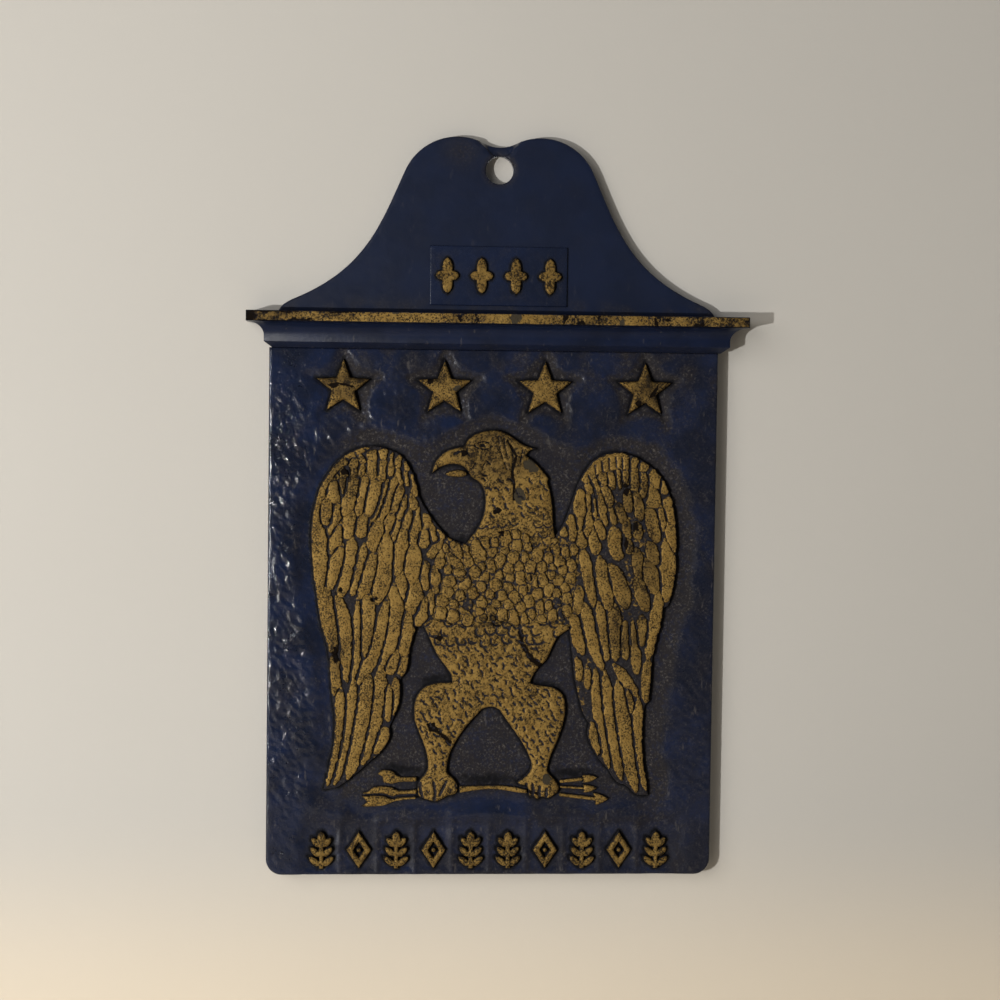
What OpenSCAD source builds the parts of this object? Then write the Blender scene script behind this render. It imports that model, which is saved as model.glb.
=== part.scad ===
// Cast wall plaque with a spread eagle in low relief.
// Drawn flat: X runs across, Y up from the bottom edge of the panel, Z towards the viewer.
// on_wall() then stands it up: +Z up, front towards -Y, back in the plane y = 0,
// origin on the axis of the hanging hole.

/* [Panel] */
// Width of the panel
panel_w = 134; // [130:1:160]
// Height of the panel, up to the underside of the cornice
panel_h = 157.8; // [154:0.2:185]
// Thickness of the panel at its face
panel_t = 5.5; // [4.5:0.1:8]
// Radius of the two bottom corners
corner_r = 4.8; // [1:0.1:12]
// Depth of the sunk ground round the stars, the eagle and the frieze ornaments
ground_d = 0.8; // [0.3:0.1:1.2]
// Width of the rim round the hollow back
back_rim = 5; // [3:0.5:12]
// Depth of the hollow back
back_d = 1.8; // [0.5:0.1:2]

/* [Cornice] */
// Sideways offset of the cornice and crest from the middle of the panel
head_x = 0.8; // [0:0.1:2]
// How far the cornice stands out from the panel, in front and at both ends
cornice_out = 7.3; // [5:0.1:10]
// Height of the moulding under the fillet
moulding_h = 7.5; // [6:0.1:12]
// Height of the sloping foot of the moulding
foot_h = 1.7; // [0.8:0.1:2.5]
// How far the foot of the moulding stands out
foot_out = 2.3; // [1:0.1:3.5]
// Height of the upright band between the foot and the cove
band_h = 1.8; // [0.5:0.1:2.5]
// Height of the flat fillet on top
fillet_h = 3.1; // [1.5:0.1:5]
// Depth of the channel behind the cornice
channel_d = 4; // [1:0.5:5]
// Wall left round that channel
channel_wall = 2.4; // [1.5:0.1:3]

/* [Crest] */
// Height of the crest above the fillet
crest_h = 52.6; // [46:0.2:60]
// Distance from each end of the fillet to the foot of the crest
crest_in = 8.8; // [6:0.2:14]
// Thickness of the crest
crest_t = 4; // [3:0.1:6]
// Radius of the two round lobes
lobe_r = 17.2; // [15:0.1:19]
// Distance of each lobe's centre from the middle
lobe_x = 12.4; // [10:0.1:14]
// Slope of the sides where they leave the lobes, in degrees
flank_angle = 66; // [58:1:74]
// Half width of the saddle between the lobes
saddle_w = 5.4; // [4:0.1:7]
// Drop of the saddle's middle below the lobes
saddle_drop = 2.9; // [2:0.1:4]
// Depth of the thin web in the saddle
web_d = 1; // [0.4:0.1:1.6]
// Radius of the hanging hole
hole_r = 4.15; // [2.5:0.05:5]
// Drop of the hole's axis below the lobes
hole_drop = 9.7; // [9:0.1:14]

/* [Tablet] */
// Width of the raised tablet on the crest
tablet_w = 41; // [36:0.5:56]
// Height of the tablet
tablet_h = 17.6; // [14:0.2:20]
// Gap between the fillet and the tablet
tablet_gap = 2.6; // [0.6:0.1:6]
// How far the tablet stands out from the crest
tablet_t = 0.7; // [0.3:0.1:1.5]
// Number of blossoms on the tablet
blossom_count = 4; // [2:1:4]
// Gap between the end of the tablet and the first blossom
blossom_edge = 1.6; // [0.8:0.1:3]
// Height of a blossom
blossom_h = 11; // [7:0.2:12]
// Width of a blossom
blossom_w = 7.2; // [5:0.1:7.8]
// How far the blossoms stand out from the tablet
blossom_t = 1.2; // [0.5:0.1:2]

/* [Stars] */
// Number of stars
star_count = 4; // [2:1:4]
// Distance from the side of the panel to the centre of the first star
star_edge = 22; // [16:0.5:28]
// Drop of the stars' centres below the cornice
star_drop = 11.6; // [10:0.1:13]
// Radius to the tips of a star
star_r = 8.7; // [6:0.1:9]
// Radius to the inner corners of a star
star_inner_r = 3.7; // [2.5:0.1:4.5]
// Height of a star above the sunk ground
star_t = 2; // [1:0.1:3]
// Sunk ground seen round a star
star_margin = 2; // [1:0.1:2.5]

/* [Eagle] */
// Gap between the frieze's ornaments and the claws
claw_gap = 8.8; // [7:0.1:12]
// Distance from the crown up to the centres of the stars
crown_gap = 12.1; // [11:0.1:18]
// Gap between the widest place of each wing and the side of the panel
wing_gap = 11.6; // [7:0.1:20]
// Height of the wings and breast above the sunk ground, without their feathers
flesh_t = 1.1; // [0.5:0.1:2]
// Height of the feathers above the wings and breast
feather_t = 0.9; // [0.4:0.1:1.5]
// Width of the feathers, as a share of the drawn width
feather_fill = 1.08; // [0.7:0.02:1.08]
// Sunk ground seen round the eagle
eagle_margin = 2.6; // [1:0.1:3]

/* [Frieze] */
// Number of ornaments in the frieze
frieze_count = 10; // [6:2:10]
// Distance from the side of the panel to the middle of the first ornament
frieze_edge = 16.6; // [12:0.2:20]
// Height of an ornament
ornament_h = 11.4; // [8:0.2:12.4]
// Width of an ornament
ornament_w = 7.6; // [5:0.1:8.2]
// Height of an ornament above the sunk ground
ornament_t = 1.9; // [1:0.1:3]
// Height of the ornaments' feet above the bottom of the panel
ornament_y = 2; // [1.6:0.1:3]
// Sunk ground seen round an ornament
ornament_margin = 1.2; // [0.6:0.1:1.4]

/* [Hidden] */
$fn = 64;

navy = [0.07, 0.10, 0.24];
dark_navy = [0.06, 0.07, 0.13];
gold = [0.62, 0.44, 0.16];

ground_z = panel_t - ground_d;
flesh_z = ground_z + flesh_t;
figure_t = flesh_t + feather_t;
fillet_y = panel_h + moulding_h;
crest_y = fillet_y + fillet_h;
crest_w = panel_w + 2 * cornice_out - 2 * crest_in;
hole_y = crest_y + crest_h - hole_drop;
tablet_y = crest_y + tablet_gap;
blossom_pitch = (tablet_w - 2 * blossom_edge - blossom_w) / (blossom_count - 1);
star_y = panel_h - star_drop;
star_pitch = (panel_w - 2 * star_edge) / (star_count - 1);
frieze_pitch = (panel_w - 2 * frieze_edge) / (frieze_count - 1);
eagle_y = ornament_y + ornament_h + claw_gap;
eagle_h = star_y - crown_gap - eagle_y;
eagle_half_w = panel_w / 2 - wing_gap;
// Longest step along a drawn curve
curve_step = 1.4;
// Steps round a rounded corner
CORNER_STEPS = 10;

// Curves

function flat2(p) = [p[0], p[1]];
function unit(v) = v / norm(v);
function reversed(p) = [for (i = [len(p) - 1:-1:0]) p[i]];

// Direction of a smooth curve at point i of an open run; a third number marks a sharp point
function heading(p, i) =
    len(p[i]) > 2 || i == 0 || i == len(p) - 1 ? [0, 0] : unit(flat2(p[i + 1]) - flat2(p[i - 1]));

function hermite(a, b, ha, hb, t) =
    (2 * t * t * t - 3 * t * t + 1) * a + (t * t * t - 2 * t * t + t) * ha
    + (3 * t * t - 2 * t * t * t) * b + (t * t * t - t * t) * hb;

// Smooth open run through hand-drawn points, without its last point
function run(p) = [
    for (i = [0:len(p) - 2])
        let (a = flat2(p[i]), b = flat2(p[i + 1]), len_ab = norm(b - a))
        let (steps = max(1, ceil(len_ab / curve_step)))
        for (j = [0:steps - 1])
            hermite(a, b, heading(p, i) * len_ab, heading(p, i + 1) * len_ab, j / steps)
];

// Closed outline without repeated points
function ring(p) =
    [for (i = [0:len(p) - 1]) if (norm(p[(i + 1) % len(p)] - p[i]) > 0.01) p[i]];

// Smooth closed outline that starts and ends in a sharp point
function outline(p) = run(concat(p, [p[0]]));

function bezier(a, b, c, d, t) =
    (1 - t) * (1 - t) * (1 - t) * a + 3 * t * (1 - t) * (1 - t) * b
    + 3 * t * t * (1 - t) * c + t * t * t * d;

function arc(centre, r, from, to, count) =
    [for (i = [0:count]) let (a = from + (to - from) * i / count) centre + r * [cos(a), sin(a)]];

// Eagle drawing to panel: fitted between the claws' foot, the crown and the sides
function on_panel(p) =
    let (foot = min([for (q = LEFT_LEG_EDGE) q[1]]), crown = max([for (q = HEAD_EDGE) q[1]]),
         side = max([for (q = RIGHT_WING_EDGE) q[0]]))
    [for (q = p) [q[0] * eagle_half_w / side, eagle_y + (q[1] - foot) * eagle_h / (crown - foot)]];

// Long pointed leaf from a root to a tip, bent sideways at its middle
function leaf(root, tip, width, bend = 0, sides = 7) =
    let (along = tip - root, across = unit([-along[1], along[0]]))
    let (half = [for (i = [1:sides - 1])
        let (t = i / sides)
        [root + along * t + across * (bend * 4 * t * (1 - t)),
         across * width / 2 * pow(sin(180 * pow(t, 0.8)), 0.45)]])
    concat([root], [for (h = half) h[0] + h[1]], [tip],
           [for (i = [len(half) - 1:-1:0]) half[i][0] - half[i][1]]);

// Drawing plane to wall
module on_wall() {
    rotate([90, 0, 0])
        translate([-head_x, -hole_y, 0])
            children();
}

// Raised slab standing on height z
module raised(z, t) {
    translate([0, 0, z])
        linear_extrude(height = t)
            children();
}

// Panel

// Panel drawn in by an inset, with its bottom corners rounded
module panel_outline(inset = 0) {
    w = panel_w / 2 - inset;
    r = max(0.5, corner_r - inset);
    polygon(concat([[w, panel_h - inset], [-w, panel_h - inset]],
                   arc([r - w, inset + r], r, 180, 270, CORNER_STEPS),
                   arc([w - r, inset + r], r, 270, 360, CORNER_STEPS)));
}

// Outermost line of the whole eagle, clockwise from the crown
EAGLE_ENVELOPE = [
    [0, 134.3], [7, 131.6], [13.5, 128.6], [20, 124.8], [25.4, 122.4], [30, 126], [36.7, 127.9],
    [43.3, 126.3], [50, 121], [53.6, 114], [55.3, 106], [55.4, 97], [54.4, 86], [52, 78],
    [50, 69], [48.5, 58], [46.8, 48], [46.2, 36], [47.9, 24.6], [42, 23.6], [36, 21.4],
    [30, 21.2], [22, 22.8], [10, 23], [0, 24.6], [-10, 23.2], [-16.5, 22], [-24, 22],
    [-31, 20.9], [-39, 20.2], [-43.5, 24], [-50, 26], [-48.2, 34], [-46.9, 42], [-47.8, 55],
    [-49, 67], [-51.3, 76], [-53, 87], [-54.3, 97], [-54.3, 106], [-53, 114], [-50, 120],
    [-44, 126.4], [-35.4, 129.2], [-28, 127], [-23.5, 125.3], [-19.5, 124.8], [-15, 127.4],
    [-11, 129.8], [-7, 132.8]
];

// Closed outline moved outwards by m; the points run clockwise
function grown(p, m) = [
    for (i = [0:len(p) - 1])
        let (n = len(p), along = unit(p[(i + 1) % n] - p[(i + n - 1) % n]))
        p[i] + m * [-along[1], along[0]]
];

function star_points(r_tip, r_inner) =
    [for (i = [0:9]) let (r = i % 2 == 0 ? r_tip : r_inner) r * [sin(36 * i), cos(36 * i)]];

module at_stars() {
    for (i = [0:star_count - 1])
        translate([(i - (star_count - 1) / 2) * star_pitch, star_y])
            children();
}

module at_frieze(odd) {
    for (i = [0:frieze_count - 1]) {
        from_end = min(i, frieze_count - 1 - i);
        if (from_end % 2 == odd)
            translate([(i - (frieze_count - 1) / 2) * frieze_pitch, ornament_y])
                children();
    }
}

// Radius of the cells' upper corners, and the ground under and over an ornament as shares of its margin
CELL_R = 2;
CELL_FOOT = 0.8;
CELL_HEAD = 1.8;

// Sunk cell of one frieze ornament, with a rounded top
module frieze_cell() {
    w = ornament_w / 2 + ornament_margin;
    foot = -CELL_FOOT * ornament_margin;
    top = ornament_h + CELL_HEAD * ornament_margin - CELL_R;
    polygon(concat([[-w, foot], [w, foot]],
                   arc([w - CELL_R, top], CELL_R, 0, 90, CORNER_STEPS),
                   arc([CELL_R - w, top], CELL_R, 90, 180, CORNER_STEPS)));
}

// Ground beyond a star's tips as a share of its margin, and the least face left under the cornice
TIP_MARGIN = 1.1;
CORNICE_LAND = 0.4;

// Everything that is sunk into the face of the panel
module sunk_ground() {
    depth = ground_d + 1;
    tip_r = min(star_r + TIP_MARGIN * star_margin, star_drop - CORNICE_LAND);
    raised(ground_z, depth)
        polygon(grown(on_panel(outline(EAGLE_ENVELOPE)), eagle_margin));
    at_stars()
        raised(ground_z, depth)
            polygon(star_points(tip_r, star_inner_r + star_margin));
    for (odd = [0, 1])
        at_frieze(odd)
            raised(ground_z, depth)
                frieze_cell();
}

module field_panel() {
    color(navy)
        on_wall()
            difference() {
                raised(0, panel_t)
                    panel_outline();
                sunk_ground();
                raised(-1, back_d + 1)
                    panel_outline(back_rim);
            }
}

// Cornice

// Outline of the moulding: distance out from the panel, height above the panel's top
COVE_STEPS = 8;
function moulding_profile() = concat(
    [[0, 0], [foot_out, foot_h]],
    [for (i = [0:COVE_STEPS])
        let (a = 180 - 90 * i / COVE_STEPS, y = foot_h + band_h)
        [cornice_out + (cornice_out - foot_out) * cos(a), y + (moulding_h - y) * sin(a)]]
);

// Solid that stands out from the panel by a profile in front and at both ends, mitred
module mitred(profile) {
    top = profile[len(profile) - 1][1];
    half_w = panel_w / 2;
    reach = panel_w + 4 * cornice_out;
    intersection() {
        translate([reach / 2, 0, 0])
            rotate([0, -90, 0])
                linear_extrude(height = reach)
                    polygon(concat([for (p = profile) [panel_t + p[0], p[1]]],
                                   [[0, top], [0, profile[0][1]]]));
        linear_extrude(height = panel_t + 2 * cornice_out)
            polygon(concat([for (p = profile) [half_w + p[0], p[1]]],
                           [for (p = reversed(profile)) [-half_w - p[0], p[1]]]));
    }
}

module cornice() {
    color(navy)
        on_wall()
            translate([head_x, panel_h, 0])
                difference() {
                    mitred(moulding_profile());
                    translate([back_rim - panel_w / 2, channel_wall, -1])
                        cube([panel_w - 2 * back_rim, moulding_h - 2 * channel_wall, channel_d + 1]);
                }
}

module cornice_fillet() {
    color(gold)
        on_wall()
            translate([head_x - panel_w / 2 - cornice_out, fillet_y, 0])
                cube([panel_w + 2 * cornice_out, fillet_h, panel_t + cornice_out]);
}

// Crest

// Right half of the crest, from the foot up to the corner of the saddle
TOE = [3.4, 3.4];
TOE_SLOPE = 22;
function crest_half() =
    let (foot = [crest_w / 2, 0],
         start = foot + [-TOE[0], TOE[1]],
         lobe = [lobe_x, crest_h - lobe_r],
         leave = 90 - flank_angle,
         end = lobe + lobe_r * [cos(leave), sin(leave)],
         reach = norm(end - start),
         low = start + 0.47 * reach * [-cos(TOE_SLOPE), sin(TOE_SLOPE)],
         high = end + 0.35 * reach * [cos(flank_angle), -sin(flank_angle)])
    concat([foot, foot + [-0.35 * TOE[0], 0.55 * TOE[1]]],
           [for (i = [0:24]) bezier(start, low, high, end, i / 24)],
           arc(lobe, lobe_r, leave + 4, acos((saddle_w - lobe_x) / lobe_r), 24));

module lobes() {
    for (side = [-1, 1])
        translate([side * lobe_x, crest_h - lobe_r])
            circle(r = lobe_r, $fn = 120);
}

module crest_outline() {
    half = crest_half();
    corner = half[len(half) - 1];
    dip = [0, crest_h - saddle_drop];
    right = [for (i = [1:4]) bezier(corner, [corner[0] * 0.6, dip[1] + 0.3], [corner[0] * 0.3, dip[1]],
                                    dip, i / 4)];
    edge = concat(half, right);
    polygon(concat(edge, [for (p = reversed(edge)) [-p[0], p[1]]]));
}

module crest_panel() {
    color(navy)
        on_wall()
            translate([head_x, crest_y, 0])
                difference() {
                    raised(0, crest_t)
                        crest_outline();
                    raised(crest_t - web_d, web_d + 1)
                        difference() {
                            translate([-saddle_w, crest_h - lobe_r])
                                square([2 * saddle_w, lobe_r + 1]);
                            lobes();
                        }
                    translate([0, hole_y - crest_y, -1])
                        cylinder(r = hole_r, h = crest_t + 2);
                }
}

module crest_tablet() {
    color(navy)
        on_wall()
            translate([head_x - tablet_w / 2, tablet_y, crest_t])
                cube([tablet_w, tablet_h, tablet_t]);
}

// Widths of a blossom's upright leaves and level leaves, and radius of its eye, as shares of its width
UPRIGHT_LEAF = 0.46;
LEVEL_LEAF = 0.42;
BLOSSOM_EYE = 0.25;

// Four-leaved blossom about its own middle
module blossom() {
    tip_y = blossom_h / 2;
    tip_x = blossom_w / 2;
    for (side = [-1, 1]) {
        raised(0, blossom_t)
            polygon(leaf([0, 0.1 * side], [0, tip_y * side], UPRIGHT_LEAF * blossom_w));
        raised(0, blossom_t)
            polygon(leaf([0.1 * side, 0], [tip_x * side, 0], LEVEL_LEAF * blossom_w));
    }
    cylinder(r = BLOSSOM_EYE * blossom_w, h = blossom_t);
}

module tablet_blossoms() {
    color(gold)
        on_wall()
            for (i = [0:blossom_count - 1])
                translate([head_x + (i - (blossom_count - 1) / 2) * blossom_pitch,
                           tablet_y + tablet_h / 2, crest_t + tablet_t])
                    blossom();
}

// Stars and frieze

module stars() {
    color(gold)
        on_wall()
            raised(ground_z, star_t)
                at_stars()
                    polygon(star_points(star_r, star_inner_r));
}

// Widths of a sprig's stem, side leaves and top leaf, as shares of its own width
STEM = 0.2;
SIDE_LEAF = 0.28;
TOP_LEAF = 0.36;

// Upright sprig: a stem, three pairs of leaves and a leaf on top
module sprig() {
    stem_w = STEM * ornament_w;
    translate([-stem_w / 2, 0, 0])
        cube([stem_w, 0.8 * ornament_h, ornament_t]);
    for (side = [-1, 1], row = [0:2]) {
        y = (0.08 + 0.25 * row) * ornament_h;
        tip_x = side * ornament_w * (0.5 - 0.05 * row);
        raised(0, ornament_t)
            polygon(leaf([side * stem_w / 4, y], [tip_x, y + 0.25 * ornament_h], SIDE_LEAF * ornament_w));
    }
    raised(0, ornament_t)
        polygon(leaf([0, 0.66 * ornament_h], [0, ornament_h], TOP_LEAF * ornament_w));
}

// Open lozenge with a bead in it
module lozenge() {
    bar = 0.25 * ornament_w;
    w = ornament_w / 2;
    h = ornament_h / 2;
    grow = bar * norm([w, h]);
    translate([0, h, 0]) {
        raised(0, ornament_t)
            difference() {
                polygon([[w, 0], [0, h], [-w, 0], [0, -h]]);
                polygon([[w - grow / h, 0], [0, h - grow / w], [grow / h - w, 0],
                         [0, grow / w - h]]);
            }
        cylinder(r = 0.1 * ornament_w, h = ornament_t);
    }
}

module frieze_sprigs() {
    color(gold)
        on_wall()
            translate([0, 0, ground_z])
                at_frieze(0)
                    sprig();
}

module frieze_lozenges() {
    color(gold)
        on_wall()
            translate([0, 0, ground_z])
                at_frieze(1)
                    lozenge();
}

// Eagle: lines shared by two neighbouring pieces, drawn from left to right or top to bottom

LEFT_SEAM = run([[-13.5, 102], [-14.2, 100.2], [-15.2, 98.8], [-14.6, 96.6], [-14.2, 94.6],
                 [-14.3, 91.6], [-15.3, 88.6], [-15.4, 86], [-16.7, 83.8], [-17.3, 81],
                 [-18, 78], [-20.3, 75]]);
RIGHT_SEAM = run([[19, 103], [22.4, 101], [25, 99.6], [25.6, 96.6], [25.1, 92], [24.9, 88],
                  [24.3, 84], [23.6, 79], [23.4, 74.6]]);
COLLAR = run([[-5.4, 103.6], [-3, 102.4], [0.6, 102.2], [2.6, 104.2], [5.6, 105.2], [8.6, 104.2],
              [10.8, 102.8], [12.2, 100], [14.6, 98.9], [17, 99.6], [19, 103]]);
BELLY_LINE = run([[-20.3, 75], [-16.8, 76.6], [-12, 75.3], [-7, 74.9], [-2.4, 76.2], [3, 76],
                  [8, 74.4], [13, 75.8], [18, 75.6], [23.4, 74.6]]);

LEFT_WING_EDGE = run([
    [-20.3, 75], [-22.8, 75, 1], [-23.3, 72.5], [-24.4, 68], [-25.4, 61.5], [-27.5, 59, 1],
    [-27, 54.5], [-28.8, 48.3], [-30.3, 45, 1], [-30, 42.5], [-32, 38.2], [-36.2, 34.2],
    [-41.6, 29.5], [-46, 26.5], [-49.9, 26, 1], [-48.6, 32], [-47.1, 40], [-46.8, 47.4],
    [-48, 56.5], [-49, 68], [-51.2, 76], [-53, 87.3], [-54.1, 97], [-54.1, 106],
    [-52.8, 113.4], [-50.1, 119.7], [-45.7, 125.2], [-40.2, 128.4], [-35.4, 129], [-31, 128],
    [-27.2, 126], [-23.8, 120.5], [-21.9, 113.8], [-18.3, 107.8], [-13.5, 102]
]);

RIGHT_WING_EDGE = run([
    [19, 103], [21.2, 106.4], [23.6, 112.9], [25.8, 119.3], [30.2, 125.6], [36.7, 127.9],
    [43.5, 126.2], [50.2, 121], [53.5, 114.3], [55.1, 106.4], [55.4, 98], [55, 90],
    [53.3, 81.8, 1], [51.6, 81, 1], [51, 76.5], [48.8, 66.7], [48.2, 58.6], [47.7, 52.6, 1],
    [46.6, 51.6], [45.9, 41.5], [46.4, 33.9], [47.2, 29.2], [48, 24.3, 1], [44.3, 24.4],
    [41.2, 27.2], [38.4, 28.2], [35.4, 32.3], [32.4, 35.8], [29.7, 41], [29.2, 43.8],
    [29.8, 46, 1], [28, 48.7], [25.3, 59], [24.4, 65.8], [23.5, 73], [23.4, 74.6]
]);

LEFT_RIM = [
    [-36, 128.6, 1], [-40.1, 128], [-43.8, 126.1], [-47.1, 123.2], [-49.8, 119.4],
    [-52.1, 114.5], [-53.4, 109], [-53.9, 103], [-53.8, 97], [-53.2, 91], [-52.2, 83.6, 1],
    [-50.7, 86.3], [-50, 91], [-49.9, 97], [-50.6, 103], [-51.6, 108.5], [-50.6, 114.2],
    [-48.7, 118.4], [-46, 122], [-43, 124.8], [-39.6, 126.8]
];

RIGHT_RIM = [
    [26.3, 119.6, 1], [28.1, 122.4], [30.6, 125], [33.4, 126.8], [36.8, 127.4], [40.3, 126.8, 1],
    [39.9, 122.4, 1], [37.4, 123.5], [34.6, 122.5], [32, 121.8], [29.6, 120.5], [28, 118.6]
];

// Feathers, each from its root to its tip, with its width and the bend of its middle to the right
LEFT_COVERTS = [
    [[-41.6, 124.8], [-41.8, 119.6], 1.4], [[-39.9, 126], [-38.4, 123.7], 1.6],
    [[-38.9, 123.1], [-39.5, 119.6], 1.6], [[-37.2, 127.6], [-35.8, 124.6], 2.4],
    [[-36.3, 124.4], [-36, 118.6], 2.9], [[-33.4, 128], [-32.4, 124.4], 2.3],
    [[-33, 124.4], [-33.8, 118.4], 2.1], [[-30.7, 127], [-30.5, 123.6], 1.4],
    [[-30.7, 123.3], [-30.6, 119.8], 1.8], [[-29, 126], [-28, 122.6], 1.8],
    [[-28.8, 121.8], [-27.6, 117.4], 1.7], [[-27, 124.6], [-25.9, 121.6], 1.2],
    [[-26.6, 121.2], [-25.3, 117], 1.4], [[-24.6, 121], [-23, 114], 1.1],
    [[-46.6, 120.5], [-46.3, 118.6], 1.2], [[-45.2, 121.6], [-43.8, 120], 1.3],
    [[-47.7, 118], [-47.5, 111.6], 2.7], [[-45.3, 119.2], [-44.9, 114.4], 1.5, 0.1],
    [[-41.6, 119.4], [-44.6, 108.2], 2.5, 0.5], [[-38.3, 119.4], [-40.3, 107.8], 1.8, 0.2],
    [[-35.2, 118.6], [-37.3, 108], 3], [[-31.9, 118], [-36.9, 104.9], 1.3, 0.6],
    [[-29.4, 119.4], [-33.7, 106.6], 1.3, 0.5], [[-28.2, 116.2], [-29.6, 109.4], 1.8],
    [[-26.9, 113.2], [-27.9, 107], 1.7], [[-24.3, 113.2], [-23.8, 109.8], 1.3],
    [[-49.9, 112.4], [-50, 105.2], 2.5], [[-46.4, 111.4], [-48.8, 102.2], 1.4, 0.3],
    [[-45.9, 104.8], [-48.4, 96.4], 2.2, 0.2], [[-42.6, 108.2], [-43.8, 101.2], 2.2],
    [[-38.8, 107.8], [-39.6, 101.4], 1.9], [[-33.8, 106.4], [-36.1, 97.4], 3.2],
    [[-30.7, 108.2], [-31.6, 103.4], 2.1], [[-28.4, 106.4], [-29.8, 100.4], 1.6],
    [[-24.9, 109.6], [-26.3, 104], 1.6], [[-22.8, 109.6], [-24.2, 99.4], 1.7, 0.4],
    [[-20.9, 109], [-19.3, 104.6], 1.4], [[-20.4, 103.6], [-20.8, 98.8], 1.9],
    [[-18.4, 104.4], [-17, 100], 1.4, 0.3], [[-16.2, 100.4], [-19.6, 96], 1.3, 0.6],
    [[-16.4, 103.1], [-14.8, 101.3], 1], [[-15.8, 97.2], [-15.8, 92.6], 1.5]
];

LEFT_SECONDARIES = [
    [[-45.4, 98.4], [-49, 86], 2.9, 0.3], [[-42.2, 100.4], [-45.7, 83.4], 2.7, 0.5],
    [[-38.6, 98.6], [-41.9, 84], 1.6, 0.3], [[-35.3, 96.4], [-39.5, 83.2], 2.4, 0.2],
    [[-32, 102.6], [-34.4, 81.6], 3.8, 0.5], [[-27.2, 104.4], [-28.5, 90], 2.7, 0.2],
    [[-23.6, 98.4], [-24.2, 88], 3.1], [[-20, 93.4], [-20.2, 85.8], 1.4],
    [[-17.4, 91.6], [-17.2, 87.6], 1.4], [[-27, 90.4], [-26.7, 83], 2.9],
    [[-23, 88.2], [-24.1, 78.6], 3.6], [[-18.3, 84.6], [-18.4, 78.8], 1.5],
    [[-20, 82.6], [-22.8, 75.2], 1.8, 0.3],
    [[-49.5, 85.2], [-46.9, 66.6], 3.8, -0.7], [[-46.9, 65.2], [-46.8, 54.2], 2.1, 0.1],
    [[-46.9, 84.2], [-43.5, 58.2], 2.8, 1.7], [[-40.1, 82.4], [-41.5, 58.4], 1.6, 0.9],
    [[-37.5, 84.2], [-37.8, 65.8], 2.9, 0.5], [[-31.7, 82.4], [-40, 57.6], 2.5, 1.5],
    [[-29.4, 86.8], [-32.3, 63.4], 3.4, 1.4], [[-25.2, 79], [-27.1, 65.8], 2.9, 0.6],
    [[-28.8, 66.8], [-30.7, 60.8], 1.8], [[-26.3, 65.6], [-27, 60], 1.4],
    [[-16.9, 87.1], [-16.8, 85.2], 1.1]
];

LEFT_PRIMARIES = [
    [[-45.5, 55.6], [-49.3, 27], 2, 1.8], [[-41.4, 58], [-46.8, 27.2], 2.3, 1.2],
    [[-36.9, 59.8], [-42.9, 28.6], 3.2, 1], [[-33.3, 63.2], [-38.5, 33.2], 2.3, 1.6],
    [[-31.4, 45], [-34.6, 36.8], 2.1, 0.3], [[-30.6, 56.2], [-31.2, 46.4], 0.9, 0.3],
    [[-28.7, 60.2], [-29.5, 48.2], 1.6, 0.7]
];

RIGHT_COVERTS = [
    [[41.9, 126.6], [42, 122], 1.7], [[44.8, 124.8], [45.3, 121.6], 2.4],
    [[44.8, 121.4], [45.3, 118.8], 1.8], [[47.4, 122.8], [49.5, 117], 2.2],
    [[50.5, 119.6], [51.4, 115.7], 1.5], [[42.3, 121.8], [42.4, 116], 1.8],
    [[45, 118.8], [45.2, 114.4], 1.5], [[39.3, 122.2], [39.9, 117.4], 1.2],
    [[37.2, 122.4], [37.8, 116.8], 1.2], [[35, 121.6], [35.8, 116.8], 1.3],
    [[30.2, 119.6], [31.8, 115.6], 1.5], [[28.2, 118], [29.4, 115.4], 1.3],
    [[32.4, 121.4], [33.2, 117.8], 1.6], [[33, 117.4], [35.3, 111.6], 1.5],
    [[47.5, 117.2], [48.4, 111.2], 2.6], [[52, 114.8], [54, 106], 2.1, 0.2],
    [[25.8, 117], [26.2, 104.4], 2.5, 0.1], [[23.1, 109.2], [23.9, 101], 2],
    [[21, 105.6], [22, 102.4], 1.5], [[28, 115.2], [28.8, 109.6], 1.3],
    [[28.3, 109], [28.3, 102.2], 1.5], [[30.1, 114.4], [31.1, 107], 1.4],
    [[32, 115.4], [33.7, 105.4], 1.5, -0.3], [[40.4, 115.4], [41, 110], 2],
    [[42.3, 115.6], [44.4, 107.4], 1.8], [[35.2, 110.4], [36.7, 106.2], 1.4],
    [[37.8, 111.2], [39, 106.6], 1.4], [[46.9, 110.6], [49.3, 100.8], 2.3],
    [[50.3, 110.8], [51.2, 104.2], 1], [[53, 105.6], [54.7, 98], 2, 0.2],
    [[31.7, 107], [32.7, 101.4], 1.7], [[30.1, 104], [31.1, 97], 1.8],
    [[26.3, 103.2], [27, 99], 1.4], [[40, 106.2], [41, 101.8], 1.5],
    [[43, 105.4], [43.4, 102], 1.7], [[36.3, 104], [38, 95.4], 3, -0.2],
    [[40.2, 101.2], [40.8, 97.4], 1.5], [[47.4, 99.6], [49.3, 94.2], 2.1]
];

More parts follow.
